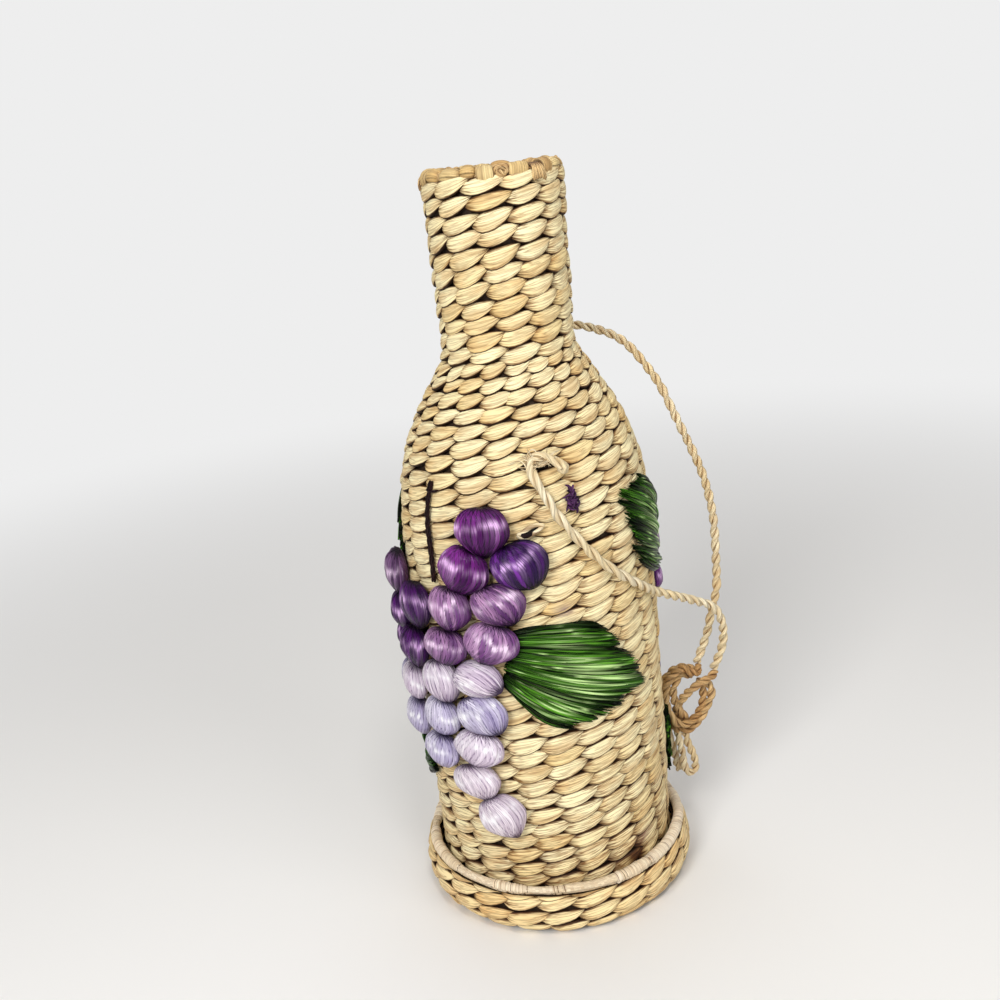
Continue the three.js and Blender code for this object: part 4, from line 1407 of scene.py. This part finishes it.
@dataclass(frozen=True)
class Bunch:
    """One bunch of raffia grapes with its stem and three leaves."""

    RIBBONS = 28  # round a grape
    WALL = 55.0  # radius of the cover where the bunch hangs, mm
    # For each layer of a leaf, from the back: strips, breadth of one over the room that it has, how far
    # it stands off the cover and half its thickness in mm.
    LAYERS = ((34, 1.6, 0.7, 0.45), (110, 1.25, 1.5, 0.4), (54, 0.62, 2.2, 0.32))

    side: str  # front or rear
    turn: float  # degrees from the front bunch to this one
    foot: float  # height of the lowest grape's middle, mm
    # Grapes at the edge that no node holds: dye, azimuth, height, width and height of each.
    extra_grapes: tuple[tuple[Dye, float, float, float, float], ...] = ()
    height: float = 128.5  # from the lowest grape's middle up to the highest one's, mm
    # From the top of the bunch down: dyes, how far the top of each grape's wrapping leans to the right in
    # degrees, and the record's slots.
    dyes: tuple[Dye, ...] = (
        Dye.VIOLET, Dye.VIOLET, Dye.INDIGO, Dye.SMOKE, Dye.PLUM, Dye.PLUM, Dye.ROSE, Dye.ROSE, Dye.PLUM,
        Dye.ROSE, Dye.LILAC, *(Dye.PALE,) * 3, *(Dye.BLUE,) * 4, Dye.PALE, Dye.BLUSH, Dye.BLUSH,
    )
    leans: tuple[float, ...] = (0, 20, -26, 6, 0, -4, 6, -24, -4, 5, 22, 8, -12, -58, 5, 10, -34, 6, 14, -20, -30)
    slots: tuple[str, ...] = ("raffia_purple",) * 7 + ("raffia_mauve",) * 4 + ("raffia_lilac",) * 10
    leaves: tuple[Leaf, ...] = (
        Leaf(
            "right", lobes=4, seed=70,
            base=((-11.0, 0.66), (-12.4, 0.605), (-14.2, 0.545), (-16.6, 0.475)),
            tips=(
                (26, 0.65), (30.7, 0.611), (35.9, 0.568), (35.5, 0.539), (42.3, 0.506), (42.7, 0.483),
                (48.9, 0.441), (45.9, 0.425), (51.3, 0.377), (38.9, 0.368), (32.9, 0.341), (21.7, 0.318),
                (12.6, 0.323), (10.7, 0.3),
            ),
        ),
        Leaf(
            "upper", lobes=5, seed=71,
            base=((-94, 0.74), (-91.5, 0.8), (-91.5, 0.87), (-94.5, 0.95)),
            tips=(
                (-137.1, 0.86), (-136, 0.905), (-142.5, 0.928), (-139, 0.975), (-144.1, 1.025), (-142, 1.055),
                (-149.7, 1.115), (-143, 1.122), (-137.2, 1.138), (-132, 1.13), (-128.2, 1.151),
            ),
        ),
        Leaf(
            "lower", lobes=2, seed=72,
            base=((-67, 0.045), (-70.5, 0.08), (-75, 0.115), (-81, 0.15)),
            tips=(
                (-104, -0.06), (-103, -0.01), (-108, 0.01), (-105.5, 0.06), (-109, 0.1), (-105, 0.14), (-106, 0.18),
            ),
        ),
    )
    stem: Pairs = ((-45, 1.156), (-46.6, 1.09), (-46.8, 1.02), (-46.4, 0.93), (-46.6, 0.815))  # from the top

    def build(self, dyes: dict[Dye, Material], leaf: Material, bark: Material) -> None:
        """Makes the bunch.

        Args:
            dyes: A material for each dye.
            leaf: Material of the leaves.
            bark: Material of the stem.
        """
        for index, (dye, slot, lean) in enumerate(zip(self.dyes, self.slots, self.leans)):
            node = f"{self.side}_grape_{index + 1:02d}"
            points = np.array([v.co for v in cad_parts[node].data.vertices]) / MM
            middle = points.mean(0)
            azimuth = math.degrees(math.atan2(middle[0], -middle[1]))
            wide, deep = np.ptp(points @ round_axis(azimuth + 90, 1.0, 0.0)), points @ round_axis(azimuth, 1.0, 0.0)
            low, high = points[:, 2].min(), points[:, 2].max()
            size = (1.11 * wide, 1.13 * (high - low))
            batch = self._grape(azimuth, (low + high) / 2, size, (deep.min(), deep.max() + 2.0), lean, index)
            add_piece(f"{node}_raffia", [batch], dyes[dye], "cover", slot, node)
        for index, (dye, azimuth, level, *size) in enumerate(self.extra_grapes):
            wall = float(SHAPE.radius(level)) + 0.35
            batch = self._grape(azimuth + self.turn, level, size, (wall, wall + 10), 4.0, 30 + index)
            add_piece(f"{self.side}_hidden_grape_{index + 1}", [batch], dyes[dye], "cover", "raffia_purple")
        for outline in self.leaves:
            node = f"{self.side}_leaf_{outline.name}"
            add_piece(f"{node}_strips", self._leaf(outline), leaf, "cover", "raffia_green", node)
        node = f"{self.side}_stem"
        add_piece(f"{node}_strands", self._stem(), bark, "cover", "raffia_brown", node)

    def _grape(
        self, azimuth: float, level: float, size: Sequence[float], deep: tuple[float, float], lean: float, seed: int
    ) -> Tubes:
        """Makes one grape: a stuffed ball, wrapped from pole to pole in ribbons of raffia.

        It is shaped like a clove of garlic, with a domed top and a drawn-in foot.

        Args:
            azimuth: Of its middle, degrees.
            level: Height of its middle, mm.
            size: Across and upright, mm.
            deep: Distances of its back and front from the axis, mm.
            lean: How far the top of the wrapping leans to the right, degrees.
            seed: Of its own variation.

        Returns:
            One closed tube from pole to pole.
        """
        rng = np.random.default_rng(100 + seed)
        ribbons = self.RIBBONS
        polar, turn = np.linspace(0.05, PI - 0.05, 32)[:, None], around(ribbons * 5)
        # Its outline from the foot up: climb runs from -1 to 1 and full is how wide it is there.
        climb = -np.cos(polar)
        drawn_in = rng.uniform(0.45, 1.0)
        foot = np.sin(polar) * (1 - drawn_in) + drawn_in * (1 - np.abs(climb) ** 1.6) ** 0.85
        full = np.where(climb > 0, np.sin(polar) ** 0.7, foot)
        offsets, levels, shines = rng.normal(0, 1, ribbons), rng.normal(0.38, 0.08, ribbons), rng.random(ribbons)
        # Each ribbon has its own level, and its edges sink in.
        mark = np.mod(turn + rng.uniform(-0.35, 0.35) * climb, 2 * PI) / (2 * PI) * ribbons
        which = np.floor(mark).astype(int) % ribbons
        ribbon = offsets[which]
        edge = 1 - np.abs(2 * (mark % 1) - 1) ** 5
        broad = 0.02 * np.cos(3 * turn + rng.uniform(0, 6)) + 0.015 * np.cos(5 * turn + rng.uniform(0, 6))
        girth = full * (1 + broad + 0.016 * ribbon + 0.022 * (edge - 1))
        back, front = deep
        seat = back + (front - back) * 0.38
        radial = np.where(np.sin(turn) > 0, front - seat, seat - back) * np.sin(turn) * girth
        aside, up = np.cos(turn) * girth, climb + 0.03 * ribbon * np.sin(polar)
        cos, sin = math.cos(math.radians(lean)), math.sin(math.radians(lean))
        wide, tall = size
        rings = (seat + radial)[..., None] * round_axis(azimuth, 1.0, 0.0)
        rings = rings + ((aside * cos + up * sin) * wide / 2)[..., None] * round_axis(azimuth + 90, 1.0, 0.0)
        rings = rings + (level + (up * cos - aside * sin) * tall / 2)[..., None] * np.array([0.0, 0.0, 1.0])
        # A painted highlight: a bright streak over the upper half, where the lamps shine, with a tail below it.
        under = np.clip(-climb, 0, 1)
        facing = np.clip(np.sin(turn) + 0.25, 0, 1) ** 0.5
        off, shine = climb - levels[which] - 0.07 * np.sin(2 * turn + seed), shines[which]
        trail = np.where(off < 0, np.exp(off / 0.36), 0.0)
        patchy = 0.68 + 0.32 * np.sin(2.6 * turn + 1.7 * seed)
        sheen = facing * patchy * (bell(off, 0.13) * (0.4 + 0.8 * shine) + 0.9 * trail * shine**2)
        # Tone differs from ribbon to ribbon; painted shade makes it darker below the streak, towards the foot and on
        # the right, and dark at the poles, between ribbons and underneath.
        tint = 0.3 + 0.22 * ribbon + 0.2 * (off < 0) + 0.3 * under + 0.34 * np.cos(turn)
        rim = 0.9 * np.abs(climb) ** 9 + 0.7 * (1 - edge) + 0.8 * under**2
        fibre = (polar * tall / 2, turn * wide / 2 * (0.5 + 0.5 * full), seed * 3.3 + 0.25 * ribbon)
        return Tubes(rings[None], fibre, (tint, rim, sheen))

    def _leaf(self, leaf: Leaf) -> list[Tubes]:
        """Makes one leaf from strips of raffia that fan out from its base.

        Args:
            leaf: Its outline.

        Returns:
            A layer of broad strips at the back, one of narrower ones and one of fine ones in front.
        """
        rng = np.random.default_rng(leaf.seed)
        foot, end = np.array(leaf.base, float), np.array(leaf.tips, float)
        slant = (end[:, 1].mean() - foot[:, 1].mean()) * self.height
        run = (end[:, 0].mean() - foot[:, 0].mean()) * 0.96
        size = math.hypot(slant, run)
        rising = np.sign(end[0, 0] - foot[0, 0])
        out, turn = np.linspace(0, 1, 22)[:, None], around(8)
        layers = []
        for count, breadth, lift, thick in self.LAYERS:
            place = (np.arange(count) + 0.5) / count
            middling, across = bell(place - 0.58, 0.26), each(place)
            jitter = np.clip(place + rng.normal(0, 0.3 / count, count), 0, 1)
            gathered = np.clip(jitter + 0.13 / leaf.lobes * np.sin(2 * PI * leaf.lobes * jitter), 0, 1)
            start = [np.interp(jitter, np.linspace(0, 1, len(foot)), foot[:, i]) for i in (0, 1)]
            stop = [np.interp(gathered, np.linspace(0, 1, len(end)), end[:, i]) for i in (0, 1)]
            reach = out * each(1 + rng.normal(0, 0.03, count).clip(-0.08, 0.05))
            start[0] = start[0] + rng.normal(0, 0.8, count)
            azimuth, share = (each(a) + (each(b) - each(a)) * reach for a, b in zip(start, stop))
            # The strips bow apart in the middle and sway a little.
            bow = rising * 3.0 * 4 * out * (1 - out) * (1 - 2 * across)
            sway = each(rng.normal(0, 0.5, count)) * np.sin(PI * out)
            sway = sway + each(rng.normal(0, 0.2, count)) * np.sin(9 * out)
            level = self.foot + share * self.height + bow + sway
            tip_gap = np.hypot(np.ptp(stop[0]) * PI / 180 * self.WALL, np.ptp(stop[1]) * self.height) / count
            foot_gap = np.hypot(np.ptp(start[0]) * 0.96, np.ptp(start[1]) * self.height) / count
            width = breadth * (foot_gap + (tip_gap - foot_gap) * out) * (1 - 0.85 * out**8)
            # They are bundled in lobes, which stand higher than the furrows between them.
            lobe = np.abs(np.sin(PI * leaf.lobes * across))
            stand = lift + 1.2 * lobe * np.sin(PI * np.clip(out, 0.05, 1) ** 0.8) ** 0.7
            wavy = each(rng.normal(0, 0.22, count)) + each(rng.normal(0, 0.18, count)) * np.sin(6 * out + across * 40)
            radius = SHAPE.radius(level) + stand + wavy + thick * np.sin(turn)
            span = width * np.cos(turn)
            turned = azimuth + self.turn - np.degrees(span * slant / size / 56.0)
            points = round_axis(turned, radius, level + span * run / size)
            # Tone differs from strip to strip, and the middle strips are paler, painted light. Painted shade darkens
            # the furrows between lobes, the base and the back layer; the tips and the outer strips are darker too.
            tint = each(rng.uniform(0.1, 1.15, count) - 0.2 * middling)
            rim = np.clip(1 - lobe**0.6, 0, 1) * 0.85 + 0.6 * np.exp(-out / 0.12) + 0.3 * (lift < 1)
            rim = rim + 0.25 * ramp(out, 0.72, 1) + 0.15 * (1 - each(middling))
            # Painted highlights: some shine along their middle, and some have one short spark.
            bright = (rng.random(count) < 0.4 + 0.5 * middling) * rng.uniform(0.2, 0.6 + 0.75 * middling, count)
            glint = each(bright) * bell(out - each(rng.normal(0.52, 0.12, count)), 0.16)
            spark = (rng.random(count) < 0.45) * rng.uniform(0.5, 1.3, count)
            glint = glint + each(spark) * bell(out - each(rng.uniform(0.08, 0.95, count)), 0.03)
            fibre = (out * size, across * 90 + span, each(np.arange(count) * 2.9 + leaf.seed))
            layers.append(Tubes(points, fibre, (tint, rim, glint)))
        return layers

    def _stem(self) -> list[Tubes]:
        """Makes the stem.

        Returns:
            Two dark strands of raffia side by side, and the stitch that sews them down at the top.
        """
        azimuth, share = np.array(self.stem).T
        level, strands = self.foot + share * self.height, []
        for shift in (-0.55, 0.55):
            lean = shift + 0.25 * np.sin(2.3 * np.arange(len(level)) + shift)
            route = round_axis(azimuth + self.turn + np.degrees(lean / self.WALL), SHAPE.radius(level) + 1.5, level)
            strands.append(Rope(1.5, lay=9.0, step=0.6, corners=10, seed=int(70 + shift * 10)).tubes(route))
        aside, lift = np.array([-3.4, -2.2, 0.0, 2.2, 3.4]), np.array([0.2, 2.6, 3.2, 2.6, 0.2])
        tie = round_axis(azimuth[0] + self.turn + aside, SHAPE.radius(level[0]) + lift, level[0] - 4.0)
        return [*strands, Rope(1.2, lay=6.0, step=0.5, corners=10, seed=77).tubes(tie)]


@dataclass(frozen=True)
class Tuft:
    """Loose ends of fibre that stand out from the weave. Lengths in mm and angles in degrees."""

    name: str
    azimuth: float
    height: float
    reach: tuple[float, float]  # across and upright
    strands: int
    length: float  # of an end
    thick: float
    stand: tuple[float, float]  # how far the ends stand off the cover
    way: tuple[float, float]  # which way they point, up from the right, and how far they stray from it
    seed: int

    def build(self, material: Material, slot: str) -> None:
        """Makes the tuft.

        Args:
            material: Its material.
            slot: The record's material slot.
        """
        rng = np.random.default_rng(self.seed)
        t, ends = np.linspace(-0.5, 0.5, 5), []
        for _ in range(self.strands):
            aside, up = rng.normal(0, 0.28, 2).clip(-0.6, 0.6) * self.reach
            way = math.radians(rng.normal(*self.way))
            curl, low, high = rng.normal(0, 0.3 * self.length), *rng.uniform(*self.stand, 2)
            along, bend = t * self.length, curl * (4 * t * t - 0.5)
            z = self.height + up + along * math.sin(way) + bend * math.cos(way)
            wall = SHAPE.radius(z) + low + (high - low) * (t + 0.5) + 0.8 * (1 - 4 * t * t)
            turn = np.degrees((aside + along * math.cos(way) - bend * math.sin(way)) / wall)
            rope = Rope(self.thick * 1.9, lay=7.0, plies=1, step=0.4, corners=7, seed=int(rng.integers(1000)))
            ends.append(rope.tubes(round_axis(self.azimuth + turn, wall, z)))
        add_piece(self.name, ends, material, "cover", slot)


@dataclass(frozen=True)
class Slit:
    """A stitch that has split along its fibres: two pale lips, and between them a dark strand as painted shade in the
    gap. Lengths in mm.
    """

    azimuth: float = 1.3
    height: float = 189.7
    length: float = 11.0  # from corner to corner
    gape: float = 1.55  # from its middle to the middle of a lip
    lip: float = 1.7
    climb: float = 1.6  # how much higher its right corner is than its left one
    proud: float = 3.2  # how far the lips stand off the cover's wall

    def _edge(self, bow: float, shorter: float, out: float, thick: float, seed: int) -> Tubes:
        """Makes one strand from corner to corner.

        Args:
            bow: How far its middle lies above the slit's, mm.
            shorter: How much shorter than the slit it is at each end, mm.
            out: How far it stands off the wall, mm.
            thick: Its thickness, mm.
            seed: Of its variation.

        Returns:
            The strand.
        """
        t = np.linspace(-1, 1, 7)
        level = self.height + bow * (1 - t * t) ** 0.8 + t * self.climb / 2
        wall = SHAPE.radius(level) + out - 0.5 * t * t
        route = round_axis(self.azimuth + np.degrees(t * (self.length / 2 - shorter) / wall), wall, level)
        return Rope(thick * 1.75, lay=40.0, plies=1, step=0.35, corners=12, seed=seed).tubes(route)

    def build(self, rush: Material, dark: Material) -> None:
        """Makes the slit.

        Args:
            rush: Material of the lips.
            dark: Material of the dark strand, painted shade in the gap.
        """
        lips = [self._edge(way * self.gape, 0.0, self.proud, self.lip, 31 + way) for way in (-1, 1)]
        add_piece("split_stitch_lips", lips, rush, "cover", "rush_weave")
        # A dark strand below the lips stands in for the shade inside the split.
        gap = self._edge(0.0, 1.6, self.proud - 0.45, 1.6 * self.gape, 33)
        add_piece("split_stitch_shade_strand", [gap], dark, "cover", "rush_weave")


def main() -> None:
    """Builds the basket and its studio."""
    logging.basicConfig(level=logging.INFO, format="%(name)s: %(message)s")
    rush, golden, stakes, wrap, fold, pale_cord, cord, knot, leaf, bark = (
        finish.build()
        for finish in (
            Finishes.RUSH, Finishes.GOLDEN, Finishes.PAINTED_SHADE_STAKES, Finishes.WRAP, Finishes.FOLD, Finishes.PALE_CORD,
            Finishes.CORD, Finishes.KNOT, Finishes.LEAF, Finishes.BARK,
        )
    )
    dyes = {dye: raffia(*dye.value).build() for dye in Dye}
    Camera().build()
    Handle().build(pale_cord, cord, knot)
    Cover().build(rush, stakes)
    Slit().build(pale_cord, bark)
    Border().build(fold, knot)
    Tray().build(golden, wrap, stakes)
    hidden = ((Dye.PLUM, -96.0, 124.0, 19.0, 17.0), (Dye.BLUE, -92.0, 105.0, 19.0, 16.0))
    Bunch("front", turn=0.0, foot=60.5, extra_grapes=hidden).build(dyes, leaf, bark)
    Bunch("rear", turn=192.0, foot=51.5).build(dyes, leaf, bark)
    for side, turn in (("front", 0.0), ("rear", 180.0)):
        Tuft(
            f"{side}_purple_tuft", azimuth=20.0 + turn, height=199.5, reach=(3.2, 8.0), strands=36, length=4.2,
            thick=0.75, stand=(0.2, 2.6), way=(100.0, 50.0), seed=91,
        ).build(dyes[Dye.AUBERGINE], "raffia_purple")
        Tuft(
            f"{side}_cord_fray", azimuth=10.0 + turn, height=216.6, reach=(16.0, 3.5), strands=26, length=8.0,
            thick=0.4, stand=(1.0, 4.2), way=(8.0, 24.0), seed=92,
        ).build(pale_cord, "rush_cord")
    Studio().build()
    bpy.context.scene.view_settings.view_transform = "Standard"


if __name__ == "__main__":
    main()
